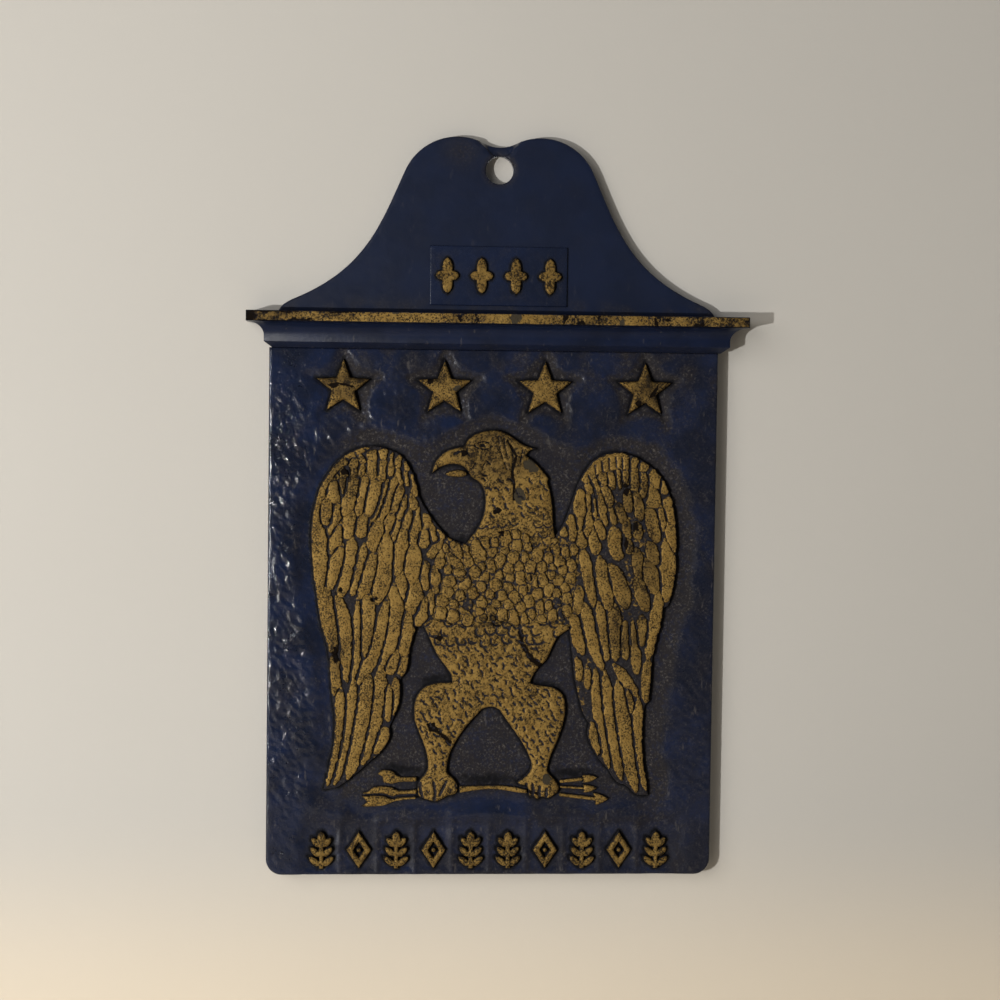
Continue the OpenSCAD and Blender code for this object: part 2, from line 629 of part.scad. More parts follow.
RIGHT_SECONDARIES = [
    [[43.2, 97.8], [44.2, 89.8], 1.8], [[51.9, 100.8], [52.1, 82.8], 3.2, 0.7],
    [[26.7, 98.8], [30.5, 81], 2.5, 0.2], [[32.3, 95.4], [35.5, 79.8], 2.4, -0.2],
    [[35.7, 93], [40.5, 80.8], 3.2, 0.4], [[46.4, 94.4], [49, 85.2], 2.9, 0.3],
    [[43.7, 89.4], [46.5, 80], 2.2], [[25.9, 86.2], [25.7, 78.9], 1.5],
    [[24.7, 78.8], [27.5, 66.8], 2, -0.6], [[27.6, 81.6], [33.4, 62.2], 3],
    [[32.2, 81.6], [34.8, 64.8], 1.8], [[36.7, 80.8], [37.3, 64.8], 2.7],
    [[39.8, 75.6], [40.5, 65.4], 2.2], [[42.4, 75.8], [43.9, 60.8], 1.8, -0.1],
    [[45, 77.6], [44.9, 69.4], 1.6], [[50, 85.6], [46.9, 65.6], 2.6, 0.8],
    [[47.2, 64.4], [46.9, 52.4], 2]
];

RIGHT_PRIMARIES = [
    [[25.8, 64.8], [26.4, 59], 0.9], [[31.4, 61.6], [35.9, 32.4], 1.9, -0.8],
    [[34.3, 61], [39.7, 28.6], 2.4, -0.7], [[38.2, 58], [44.2, 24.9], 3, -0.4],
    [[41.2, 56], [42.2, 49], 1.1], [[44.7, 52.8], [47.3, 25.6], 2.1, -1.6],
    [[37.6, 63], [44.1, 53.8], 1.5, 0.3], [[30.2, 46.8], [32.7, 36.6], 1.8, -0.2],
    [[28.7, 62], [29.4, 56.6], 1]
];

// Small rounded feathers on the breast, in rows from the collar down, given like the others
BREAST_FEATHERS = [
    [[4, 103.4], [3.4, 99.4], 2.1], [[6.7, 104], [7, 101.6], 2], [[9.4, 103], [10.7, 100.6], 1.6],
    [[-2.8, 101.7], [-1.5, 99], 1.4], [[-0.2, 101.4], [0.8, 99.3], 1.5],
    [[-12.2, 100.6], [-9.6, 95.8], 1.7], [[-14.3, 99.5], [-13.5, 97.4], 1.3],
    [[-9.2, 99.3], [-7, 97.9], 1.6], [[-6, 100.6], [-3, 95], 2.4],
    [[7.2, 101.1], [6.9, 97.9], 2.4], [[10.6, 100.3], [10.3, 97.9], 2],
    [[-0.2, 98.7], [0, 96], 2.1], [[3.6, 98.9], [3.5, 97.1], 2.2],
    [[13.3, 98.2], [13.4, 94.4], 2.2], [[19, 99], [19.6, 96.8], 1.5], [[16.3, 98.9], [16.6, 97.6], 1.2],
    [[21.2, 98.9], [22.4, 95.7], 1.3], [[23.7, 99.5], [24.4, 96.8], 1.2],
    [[-8.6, 97.4], [-6.9, 93], 2], [[1.8, 96.9], [2.3, 93.2], 2.4], [[6.4, 97.3], [5.9, 94.4], 2.1],
    [[9.3, 97.5], [9.9, 94.5], 1.9], [[16.6, 97.1], [16.8, 94.4], 1.9], [[20, 96.4], [20.2, 93.7], 2.2],
    [[-13.2, 96.5], [-9, 92.3], 1.6], [[-0.6, 95.3], [0, 91.7], 2], [[22.9, 95.1], [23.9, 92.4], 1.3],
    [[-4, 94], [-2, 92.8], 1.3], [[4.9, 94], [4.6, 91.6], 2.4], [[7.4, 94.1], [7.9, 92.1], 1.6],
    [[11.6, 94.3], [11.3, 91.8], 2], [[14.8, 94.2], [14.5, 92], 2.1], [[17.7, 94.1], [17.9, 92.2], 1.5],
    [[-13.5, 93.3], [-12.6, 91.2], 1.4], [[-11.4, 91.7], [-8.4, 90.8], 1.1],
    [[-6.8, 92], [-3.4, 91.4], 1.4], [[21.7, 93.3], [20.2, 91.4], 1.5],
    [[-2.5, 91], [-2.6, 88.9], 2.2], [[2, 91.6], [1.8, 89.5], 1.8], [[5.3, 91], [5.1, 88.8], 1.9],
    [[7.6, 91.4], [9.2, 88.2], 2], [[10.9, 91], [10.7, 89.2], 1.4], [[12.8, 90.4], [13, 87.2], 1.5],
    [[15.4, 90.7], [14.9, 88.2], 1.9], [[18.3, 91.6], [16.9, 89.7], 1.7], [[19.9, 90.3], [19.4, 88], 1.7],
    [[23.2, 91.1], [22.8, 88.5], 1.9], [[-9.4, 90], [-9.2, 89], 1.8], [[-13.3, 89.6], [-12.8, 87.2], 2],
    [[-6.6, 88.6], [-10, 86.9], 1.6], [[-3.2, 88], [-3.4, 86.2], 2.1], [[0.4, 88.7], [1.3, 86.3], 2],
    [[4.5, 88.1], [4.9, 85.9], 2.2], [[9.2, 86.9], [9.1, 85], 1.9], [[20.7, 87.4], [22.7, 86.1], 1.4],
    [[17.6, 87.6], [17, 84.4], 1.7], [[-13.8, 86.8], [-13.2, 84.2], 2.1], [[-5.8, 86.5], [-5.7, 83.9], 2.4],
    [[-0.8, 85.9], [-0.8, 83.9], 1.9], [[13.2, 86], [13.5, 83.6], 1.8], [[19.5, 86.3], [19.2, 84.2], 1.4],
    [[-9.6, 85.4], [-9.8, 83.4], 2], [[2.8, 85.3], [2.9, 83.3], 2.3], [[6.3, 85.2], [7.3, 82.4], 2],
    [[10.7, 84.4], [11.4, 81.2], 1.7], [[22.4, 84.9], [22.7, 82.4], 1.5], [[-15.9, 83.8], [-14.3, 81.5], 1.6],
    [[-11, 82.6], [-12, 81], 1.8], [[-7.3, 82.5], [-7.3, 80.6], 2], [[-3.1, 83.3], [-3.2, 80.9], 2.5],
    [[1.1, 82.8], [1, 81], 2.3], [[4.6, 82.8], [5.1, 80.6], 2], [[13.9, 82.9], [14.8, 79.2], 1.6],
    [[16.9, 82.4], [17.2, 80.2], 1.7], [[19.7, 83.4], [19.6, 81.2], 1.4], [[9, 82], [8, 80], 1.5],
    [[22.3, 81.3], [22.2, 78.5], 1.4], [[-15.4, 80.5], [-15.3, 77.6], 2], [[-12, 79.6], [-11.8, 76.6], 2.5],
    [[-9.6, 80.2], [-6.7, 79.1], 1.2], [[-4.9, 80.1], [-2.4, 79.4], 1], [[-1.3, 80.5], [1.2, 79.2], 1.1],
    [[2.7, 80], [3.5, 77.2], 1.9], [[11.5, 80.2], [11.9, 78.1], 1.9], [[5.6, 79.8], [7.6, 76], 2.1],
    [[18.2, 79.9], [18.4, 77.2], 1.9], [[20.6, 80], [20.6, 77.4], 1.2], [[-7, 78.3], [-7.5, 76.1], 2.3],
    [[-2.6, 78.5], [-2.7, 77.1], 1.7], [[14, 78.2], [16, 77], 1.2], [[0.2, 78.3], [0.3, 77], 1.3],
    [[9.1, 79.2], [10.1, 76.4], 1.3]
];

HEAD_EDGE = run([
    [-5.4, 103.6], [-3.8, 106.5], [-2.9, 109.2], [-2.5, 112.3], [-2.7, 115.4], [-3.6, 117.6],
    [-5, 118.9], [-6.8, 120, 1], [-7.6, 121.4], [-8.6, 122.7], [-10.2, 123.5], [-12.7, 123.8],
    [-15.4, 123.1], [-17.2, 122], [-18.5, 121.1, 1], [-18.1, 123.1], [-17.3, 124.8],
    [-15.8, 126.6], [-13.5, 128.1], [-10.6, 128.9], [-9, 129.3, 1], [-8.4, 130.4],
    [-6.8, 132.2], [-4.6, 133.4], [-1.5, 134], [1.3, 134.1], [4.6, 132.7], [7.2, 130.9],
    [9.8, 129.5], [12.9, 128.7, 1], [10.6, 128.1], [9.7, 126.6, 1], [11.7, 125.2],
    [13.4, 123.6], [15, 121.8], [16.6, 119.7, 1], [16.1, 119], [16.9, 116.3], [17.5, 113.3],
    [17.9, 109.6], [18.1, 106.7], [18.3, 104.2], [19, 103]
]);

LOWER_BEAK = [
    [-14.8, 120.9, 1], [-13, 121.9], [-10.6, 122.2], [-8.8, 121.9], [-7.9, 120.7], [-8.8, 120.1],
    [-11.4, 119.9], [-13.6, 120.2]
];

BELLY_LEFT = run([[-20.3, 75], [-18.3, 70.7], [-16.4, 66.7], [-13.8, 63.1], [-12.2, 60.8],
                  [-11.8, 58.5]]);
BELLY_RIGHT = run([[11.7, 58.3], [12.7, 60.8], [14.4, 63.1], [16.3, 65], [17.4, 67.1],
                   [18.8, 70.3], [20.2, 72.5], [23.4, 74.6]]);
ARCH_LEFT = [-2.6, 50.4];
ARCH_RIGHT = [2.4, 50.3];

LEFT_LEG_EDGE = run([
    [-11.8, 58.5], [-16.9, 58.2], [-19.7, 57.2], [-21.7, 55.2], [-22.9, 52.6], [-23.1, 49.4],
    [-22.8, 46.5], [-21.6, 43.3], [-20.3, 40.2], [-19.2, 36.6], [-18.8, 33.4], [-19.2, 31.5],
    [-20.2, 29.9], [-21.3, 28.8], [-21.8, 27], [-21.8, 24.8], [-20.7, 23.4], [-18.4, 22.8],
    [-16.5, 22.2], [-14.6, 23], [-12.8, 24], [-10.5, 24.6], [-9.6, 26], [-9.9, 27.8],
    [-11.4, 29.9], [-13, 31.3], [-12.9, 33], [-12.4, 36.2], [-10.6, 40.2], [-8, 44.2],
    [-4.9, 47.9], ARCH_LEFT
]);

RIGHT_LEG_EDGE = run([
    ARCH_RIGHT, [4.4, 47.4], [6.7, 44.2], [8.9, 41.1], [10.7, 38], [11.9, 35.3], [12.4, 33],
    [11.4, 31], [9.8, 29.4], [8, 28.2, 1], [8.8, 27.3], [10.9, 27.2], [11.6, 26],
    [11.6, 24.3], [12.4, 23.5], [13.3, 23.9, 1], [14.4, 23], [15.8, 23.8, 1], [17.4, 23.3],
    [19.2, 24.2], [20.6, 25.4], [20.8, 27.2], [20, 28.6], [18.6, 30.1], [17.3, 31.5],
    [17.3, 33], [18.3, 36.4], [19.9, 40.2], [21.5, 44.7], [22.4, 48.7], [22.4, 52.3],
    [21.5, 55], [19.2, 56.9], [15.2, 57.6], [11.7, 58.3]
]);

// Grooves between the toes
LEFT_TOE_GROOVES = [
    [[-19.5, 27.8], [-19.4, 22.6], 0.8], [[-16.2, 27.8], [-16.6, 21.6], 0.8],
    [[-13.3, 29.2], [-14.3, 25.2], 1.1]
];
RIGHT_TOE_GROOVES = [
    [[11.7, 29.2], [11.9, 26], 0.9], [[13.5, 27.2], [13.4, 23.2], 0.6],
    [[15.6, 27.2], [15.8, 23], 0.6], [[17.7, 27.6], [17.6, 22.6], 0.7]
];

// Eagle pieces

// Slab of the figure on the sunk ground
module flesh(points, t, tint) {
    color(tint)
        on_wall()
            raised(ground_z, t)
                polygon(on_panel(ring(points)));
}

module feathers(list, sides = 7) {
    for (f = list)
        polygon(on_panel(leaf(f[0], f[1], f[2] * feather_fill, len(f) > 3 ? f[3] : 0, sides)));
}

module feather_layer(list, sides = 7) {
    color(gold)
        on_wall()
            raised(flesh_z, feather_t)
                feathers(list, sides);
}

module left_wing() {
    flesh(concat(LEFT_WING_EDGE, LEFT_SEAM), flesh_t, dark_navy);
}

module right_wing() {
    flesh(concat(RIGHT_WING_EDGE, reversed(concat(RIGHT_SEAM, [[23.4, 74.6]]))), flesh_t, dark_navy);
}

module coverts(list, rim) {
    color(gold)
        on_wall()
            raised(flesh_z, feather_t) {
                feathers(list);
                polygon(on_panel(outline(rim)));
            }
}

module left_coverts() {
    coverts(LEFT_COVERTS, LEFT_RIM);
}

module right_coverts() {
    coverts(RIGHT_COVERTS, RIGHT_RIM);
}

module left_secondaries() {
    feather_layer(LEFT_SECONDARIES);
}

module right_secondaries() {
    feather_layer(RIGHT_SECONDARIES);
}

module left_primaries() {
    feather_layer(LEFT_PRIMARIES);
}

module right_primaries() {
    feather_layer(RIGHT_PRIMARIES);
}

module eagle_breast() {
    shoulder = run([[-13.5, 102], [-8.5, 100], [-6.9, 101.5], [-5.4, 103.6]]);
    flesh(concat(shoulder, COLLAR, RIGHT_SEAM, reversed(concat(BELLY_LINE, [[23.4, 74.6]])),
                 reversed(LEFT_SEAM)), flesh_t, dark_navy);
}

module breast_feathers() {
    feather_layer(BREAST_FEATHERS, 5);
}

module eagle_head() {
    flesh(concat(HEAD_EDGE, reversed(COLLAR)), figure_t, gold);
}

module lower_beak() {
    flesh(outline(LOWER_BEAK), figure_t, gold);
}

module eagle_belly() {
    flesh(concat(BELLY_LEFT, [[-11.8, 58.5], ARCH_LEFT, [0, 51.2], ARCH_RIGHT], BELLY_RIGHT,
                 [[23.4, 74.6]], reversed(BELLY_LINE)), figure_t, gold);
}

module leg(edge, grooves) {
    color(gold)
        on_wall()
            difference() {
                raised(ground_z, figure_t)
                    polygon(on_panel(ring(edge)));
                raised(ground_z + figure_t - feather_t, feather_t + 1)
                    feathers(grooves);
            }
}

module left_leg() {
    leg(concat(LEFT_LEG_EDGE, [ARCH_LEFT]), LEFT_TOE_GROOVES);
}

module right_leg() {
    leg(concat(RIGHT_LEG_EDGE, [[11.7, 58.3]]), RIGHT_TOE_GROOVES);
}

// Straight shaft between two points
function shaft(from, to, width) =
    let (across = width / 2 * unit([from[1] - to[1], to[0] - from[0]]))
    [from - across, to - across, to + across, from + across];

SHAFT_W = 0.9;

module arrows() {
    tails = [
        [[-33.6, 30.8, 1], [-32.8, 31.6], [-30, 31.7], [-28.8, 30.9], [-27.4, 29.8], [-22.2, 29.7, 1],
         [-22.3, 28.6, 1], [-27.4, 28.5], [-29.5, 27.9], [-32, 28.4, 1], [-32.1, 30]],
        [[-38.2, 24.8, 1], [-36.4, 25.4], [-35, 26.7, 1], [-32, 26.8], [-29.4, 26.5], [-27.8, 25.6],
         [-22.2, 25.9, 1], [-22.2, 24.9, 1], [-27.6, 24.7], [-29.2, 24.1], [-31.4, 24.9],
         [-34.6, 25]],
        [[-38.6, 24.1, 1], [-37, 22.3, 1], [-38.8, 20.8, 1], [-35, 20.8], [-31.4, 21.2],
         [-28.6, 22.4], [-22.2, 23.1, 1], [-22.2, 24, 1], [-27.4, 23.7], [-29.6, 23.2],
         [-31.4, 24], [-34.6, 24.3]]
    ];
    heads = [
        [[27.7, 30.3], [30, 30.6], [32.4, 29.8], [30.3, 28.4], [28, 28.2], [28.4, 29.2]],
        [[27.7, 27.7], [30.2, 27.5], [32.5, 26.6], [30.5, 25.2], [28, 25.1], [28.5, 26.4]],
        [[31.2, 25], [33.4, 24.6], [35.8, 23.3], [34.4, 22.3], [32, 21.3], [31.9, 22.9]]
    ];
    shafts = [
        [[21, 28.5], [29.2, 29.4]], [[21, 26.9], [29.2, 26.4]], [[21, 24.5], [32.8, 23.1]]
    ];
    middle = [[-9.3, 27.2, 1], [-3, 27.3], [2, 27.4], [7.6, 26.9, 1], [11.3, 26, 1], [11.3, 24.8, 1],
              [8, 25.1], [4, 25.8], [0, 26.1], [-4.6, 25.7], [-9.3, 24.9, 1]];
    color(gold)
        on_wall() {
            raised(ground_z, figure_t)
                polygon(on_panel(outline(middle)));
            for (i = [0:2]) {
                raised(ground_z, figure_t)
                    polygon(on_panel(outline(tails[i])));
                raised(ground_z, figure_t)
                    polygon(on_panel(heads[i]));
                raised(ground_z, figure_t)
                    polygon(on_panel(shaft(shafts[i][0], shafts[i][1], SHAFT_W)));
            }
        }
}

field_panel();
crest_panel();
cornice();
cornice_fillet();
crest_tablet();
tablet_blossoms();
stars();
frieze_sprigs();
frieze_lozenges();
left_wing();
left_coverts();
left_secondaries();
left_primaries();
right_wing();
right_coverts();
right_secondaries();
right_primaries();
eagle_breast();
breast_feathers();
eagle_head();
lower_beak();
eagle_belly();
left_leg();
right_leg();
arrows();
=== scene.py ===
import math
import bpy
import bmesh
import numpy as np
from mathutils import Matrix, Vector
from mathutils.geometry import delaunay_2d_cdt
from mathutils.kdtree import KDTree


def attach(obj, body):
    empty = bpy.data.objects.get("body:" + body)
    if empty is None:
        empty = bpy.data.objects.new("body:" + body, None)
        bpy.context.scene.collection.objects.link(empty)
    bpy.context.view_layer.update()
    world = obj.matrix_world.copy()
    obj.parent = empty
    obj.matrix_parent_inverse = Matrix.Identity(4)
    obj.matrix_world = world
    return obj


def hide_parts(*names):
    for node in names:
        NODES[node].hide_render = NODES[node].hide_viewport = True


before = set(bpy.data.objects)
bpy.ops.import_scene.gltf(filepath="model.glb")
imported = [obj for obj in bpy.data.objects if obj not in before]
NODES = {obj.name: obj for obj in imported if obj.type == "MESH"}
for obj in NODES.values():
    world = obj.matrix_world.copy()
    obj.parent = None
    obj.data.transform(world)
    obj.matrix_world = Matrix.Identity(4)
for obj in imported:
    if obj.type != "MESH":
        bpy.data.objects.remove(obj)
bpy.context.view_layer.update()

# Lengths are in millimetres until a mesh is made: x across, z up, h out from the back plane.
MM = 0.001
RNG = np.random.default_rng(26)

# The hanging hole, measured from the panel's middle and bottom edge
PANEL_PLACE = np.array([0.8, 211.3])


def on_panel(points):
    """Points measured on the panel, moved to the frame of the part."""
    return np.asarray(points, float) - PANEL_PLACE


def turned(points, degrees=0):
    """Points as they are seen from axes turned by that much."""
    c, s = math.cos(math.radians(degrees)), math.sin(math.radians(degrees))
    return points @ np.array([[c, -s], [s, c]])


def placed(name, data):
    """A new object in the scene."""
    thing = bpy.data.objects.new(name, data)
    bpy.context.scene.collection.objects.link(thing)
    return thing


# Camera

FOCAL_PX = 2000
IMAGE_PX = 1000
SENSOR = 36
EYE = (-36.64, -601.34, -69.07)
TURN = (-0.049, -0.011, -0.063)


def make_camera():
    turn = Vector(TURN)
    right, forward, up = Matrix.Rotation(turn.length, 3, turn.normalized()).col
    world = Matrix((right, up, -forward)).transposed().to_4x4()
    world.translation = Vector(EYE) * MM
    data = bpy.data.cameras.new("camera")
    data.sensor_width = SENSOR
    data.lens = FOCAL_PX * SENSOR / IMAGE_PX
    data.clip_start = 0.01
    camera = placed("camera", data)
    camera.matrix_world = world
    bpy.context.scene.camera = camera


make_camera()

# Outlines of the CAD solids

FRONT = -1
BACK = 1
# How squarely a flat face looks forward or back; areas too small for a face, and for a gap in the figure
FLAT = 0.99
SPECK = 0.05
SLIVER = 1.5


def corner_points(mesh):
    co = np.zeros(len(mesh.vertices) * 3)
    mesh.vertices.foreach_get("co", co)
    return co.reshape(-1, 3) / MM


def flat_faces(name, side):
    """Height and corners of each flat face on that side."""
    mesh = NODES[name].data
    co = corner_points(mesh)
    for face in mesh.polygons:
        if face.normal.y * side > FLAT:
            corners = co[list(face.vertices)]
            yield -corners[0][1], corners


def levels(name, side=FRONT):
    """Heights of the flat faces on that side, lowest first."""
    return sorted({round(h, 2) + 0.0 for h, _ in flat_faces(name, side)})


def area(loop):
    x, z = loop[:, 0], loop[:, 1]
    return 0.5 * np.sum(x * np.roll(z, -1) - np.roll(x, -1) * z)


def flat_loops(names, level=None, side=FRONT):
    """Outlines of the flat faces on one side, projected on x and z; what two faces share drops out."""
    edges = {}
    for name in names:
        for h, corners in flat_faces(name, side):
            if level is not None and abs(h - level) > 0.02:
                continue
            ids = [(round(x, 3), round(z, 3)) for x, _, z in corners]
            for a, b in zip(ids, ids[1:] + ids[:1]):
                if a == b:
                    continue
                if edges.get((b, a), 0) > 0:
                    edges[(b, a)] -= 1
                else:
                    edges[(a, b)] = edges.get((a, b), 0) + 1
    after = {}
    for (a, b), count in edges.items():
        if count > 0:
            after.setdefault(a, []).append(b)
    loops = []
    while after:
        loop = [next(iter(after))]
        while len(loop) == 1 or loop[-1] != loop[0]:
            here = loop[-1]
            loop.append(after[here].pop())
            if not after[here]:
                del after[here]
        loops.append(np.array(loop[:-1]))
    return [straightened(loop) for loop in loops if abs(area(loop)) > SPECK]


def straightened(loop):
    """The loop without the points that lie on a straight line between their neighbours."""
    before = loop - np.roll(loop, 1, 0)
    after = np.roll(loop, -1, 0) - loop
    cross = before[:, 0] * after[:, 1] - before[:, 1] * after[:, 0]
    scale = np.linalg.norm(before, axis=1) * np.linalg.norm(after, axis=1)
    return loop[np.abs(cross) > 0.002 * scale]


def oriented(loop, k=0):
    """Outer loops run anticlockwise and holes, with k above 0, clockwise."""
    return loop if (area(loop) > 0) == (k == 0) else loop[::-1]


def by_size(loops):
    return sorted(loops, key=lambda loop: -abs(area(loop)))


def islands(loops):
    """Outer loops, each with its holes."""
    way = area(by_size(loops)[0])
    holes = [loop for loop in loops if area(loop) * way < 0]
    return [[loop] + [hole for hole in holes if inside(hole[:1], [loop])[0]]
            for loop in loops if area(loop) * way > 0]


# Points handled at one time, and the size of a job that is worth a search tree
CHUNK = 600
TREE_FROM = 1500000


def pairs_of(loops):
    """Number of each point, counted through all the loops, and of the next one in its loop."""
    pairs, start = [], 0
    for loop in loops:
        numbers = np.arange(start, start + len(loop))
        pairs.append(np.stack([numbers, np.roll(numbers, -1)], 1))
        start += len(loop)
    return np.concatenate(pairs)


def inside(points, loops):
    """Which points lie inside the loops, counted by crossings."""
    a, b = np.concatenate(loops)[pairs_of(loops).T]
    odd = np.zeros(len(points), bool)
    rise = np.where(b[:, 1] == a[:, 1], 1e-12, b[:, 1] - a[:, 1])
    low, high = np.minimum(a[:, 1], b[:, 1]), np.maximum(a[:, 1], b[:, 1])
    order = np.argsort(points[:, 1])
    for start in range(0, len(points), CHUNK):
        rows = order[start:start + CHUNK]
        x, z = points[rows, :1], points[rows, 1:]
        near = (high >= z.min()) & (low <= z.max())
        across = (a[near, 1] > z) != (b[near, 1] > z)
        at = a[near, 0] + (b[near, 0] - a[near, 0]) * (z - a[near, 1]) / rise[near]
        odd[rows] = (across & (x < at)).sum(1) % 2 == 1
    return odd


def to_side(points, a, b):
    """Distance from each point to the side from a to b."""
    along = b - a
    square = np.maximum((along ** 2).sum(-1), 1e-12)
    to = points - a
    t = np.clip((to * along).sum(-1) / square, 0, 1)
    return np.sqrt(((to - t[..., None] * along) ** 2).sum(-1))


def distance(points, loops, closed=True):
    """Distance from each point to the nearest of the loops' lines."""
    pairs = pairs_of(loops)
    after = pairs[:, 1]
    if not closed:
        pairs = pairs[after > pairs[:, 0]]
    a, b = np.concatenate(loops)[pairs.T]
    if closed and len(points) * len(a) > TREE_FROM:
        tree = KDTree(len(a))
        for i, middle in enumerate((a + b) / 2):
            tree.insert((*middle, 0), i)
        tree.balance()
        near = np.array([tree.find((*p, 0))[1] for p in points])
        before = np.argsort(after)
        return np.min([to_side(points, a[k], b[k]) for k in (near, before[near], after[near])], 0)
    out = np.empty(len(points))
    for start in range(0, len(points), CHUNK):
        out[start:start + CHUNK] = to_side(points[start:start + CHUNK, None], a, b).min(1)
    return out


def within(points, loops):
    """Distance to the loops, below 0 outside them."""
    return distance(points, loops) * np.where(inside(points, loops), 1, -1)


def turns(loop):
    """Size of the turn at each point."""
    before = loop - np.roll(loop, 1, 0)
    after = np.roll(loop, -1, 0) - loop
    angle = np.arctan2(after[:, 1], after[:, 0]) - np.arctan2(before[:, 1], before[:, 0])
    return np.abs((angle + np.pi) % (2 * np.pi) - np.pi)


def smoothed(loop, step, sharp):
    """The loop rounded except at corners of more than sharp degrees, with points about one step apart."""
    corner = turns(loop) > math.radians(sharp)
    points, marks = [], []
    for i in range(len(loop)):
        j = (i + 1) % len(loop)
        points.append(loop[i] if corner[i] else 0.75 * loop[i] + 0.25 * loop[j])
        marks.append(corner[i])
        if not corner[j]:
            points.append(0.25 * loop[i] + 0.75 * loop[j])
            marks.append(False)
    return resampled(np.array(points), np.array(marks), step)


def resampled(loop, corner, step):
    """The loop with points about one step apart, and one at each marked corner."""
    first = np.argmax(corner)
    loop, corner = np.roll(loop, -first, 0), np.roll(corner, -first)
    corner[0] = True
    stops = [*np.flatnonzero(corner), len(loop)]
    closed = np.concatenate([loop, loop[:1]])
    out = []
    for s, e in zip(stops, stops[1:]):
        run = closed[s:e + 1]
        length = np.concatenate([[0], np.cumsum(np.linalg.norm(np.diff(run, axis=0), axis=1))])
        count = max(1, round(length[-1] / step))
        at = np.linspace(0, length[-1], count + 1)[:-1]
        out.append(np.stack([np.interp(at, length, run[:, k]) for k in (0, 1)], 1))
    return np.concatenate(out)


def inward(loop):
    """Unit directions into the material: left of the way round an outer loop or a hole."""
    along = np.roll(loop, -1, 0) - np.roll(loop, 1, 0)
    along /= np.maximum(np.linalg.norm(along, axis=1), 1e-9)[:, None]
    return np.stack([-along[:, 1], along[:, 0]], 1)


# Noise

def scatter(i, j, seed):
    """A number from 0 to 1 for each cell."""
    n = (i * 374761393 + j * 668265263 + seed * 1442695041) & 0xFFFFFFFF
    n = ((n ^ (n >> 13)) * 1274126177) & 0xFFFFFFFF
    return ((n ^ (n >> 16)) & 0xFFFF) / 0xFFFF


def wander(points, size, seed):
    """Smooth noise from about -1 to 1 with patches of that size."""
    q = points / size + 1000
    cell = np.floor(q).astype(np.int64)
    f = q - cell
    ease = f * f * f * (f * (f * 6 - 15) + 10)
    total = 0
    for dx in (0, 1):
        for dz in (0, 1):
            angle = 2 * np.pi * scatter(cell[:, 0] + dx, cell[:, 1] + dz, seed)
            dot = np.cos(angle) * (f[:, 0] - dx) + np.sin(angle) * (f[:, 1] - dz)
            wx = ease[:, 0] if dx else 1 - ease[:, 0]
            wz = ease[:, 1] if dz else 1 - ease[:, 1]
            total = total + wx * wz * dot
    return total * 1.5


def ramp(low, high, value):
    t = np.clip((value - low) / (high - low), 0, 1)
    return t * t * (3 - 2 * t)


def dome(t):
    """Quarter circle that rises from 0 to 1."""
    return np.sqrt(1 - (1 - t) ** 2)


def rounded(d, radius):
    """Drop below the top at distance d from a rounded edge."""
    return radius * (1 - dome(np.clip(d / radius, 0, 1)))


# Meshes

SHARP_EDGE = math.radians(48)


def fill(loops, rings, step):
    """Points inside the loops: rings at these distances from the edge, then an even grid."""
    found = []
    for d in rings:
        q = np.concatenate([loop + d * inward(loop) for loop in loops])
        found.append(q[inside(q, loops) & (distance(q, loops) > 0.95 * d)])
    low = np.concatenate(loops).min(0)
    high = np.concatenate(loops).max(0)
    xs = np.arange(low[0], high[0], step)
    zs = np.arange(low[1], high[1], step * 0.866)
    grid = np.stack(np.meshgrid(xs, zs), -1)
    grid[1::2, :, 0] += step / 2
    grid = grid.reshape(-1, 2)
    grid += RNG.uniform(-0.12, 0.12, grid.shape) * step
    grid = grid[inside(grid, loops)]
    found.append(grid[distance(grid, loops) > rings[-1] + 0.55 * step])
    return np.concatenate(found)


def triangulate(loops, points):
    """Triangles between the loops' points and the others, as numbers into both lists joined."""
    joined = np.concatenate(loops + [points])
    edges = pairs_of(loops)
    _, _, faces, origin, _, _ = delaunay_2d_cdt([Vector(p) for p in joined], edges.tolist(), [], 0, 1e-7)
    index = np.array([o[0] if o else -1 for o in origin])
    tri = index[np.array(faces)]
    if (tri < 0).any():
        return None
    tri = tri[inside(joined[tri].mean(1), loops)]
    co = joined[tri]
    first, second = co[:, 1] - co[:, 0], co[:, 2] - co[:, 0]
    cross = first[:, 0] * second[:, 1] - first[:, 1] * second[:, 0]
    tri[cross < 0] = tri[cross < 0][:, ::-1]
    tri = tri[np.abs(cross) > 1e-9]
    return tri if proper(tri, edges, len(joined)) else None


def proper(tri, border, count):
    """Whether the triangles' free edges are just the border, so that a solid over them is closed."""
    a, b = np.concatenate([tri[:, [0, 1]], tri[:, [1, 2]], tri[:, [2, 0]]]).astype(np.int64).T
    there = a * count + b
    free = there[~np.isin(there, b * count + a)]
    wanted = border[:, 0] * count + border[:, 1]
    return len(np.unique(there)) == len(there) and len(free) == len(wanted) and np.isin(free, wanted).all()


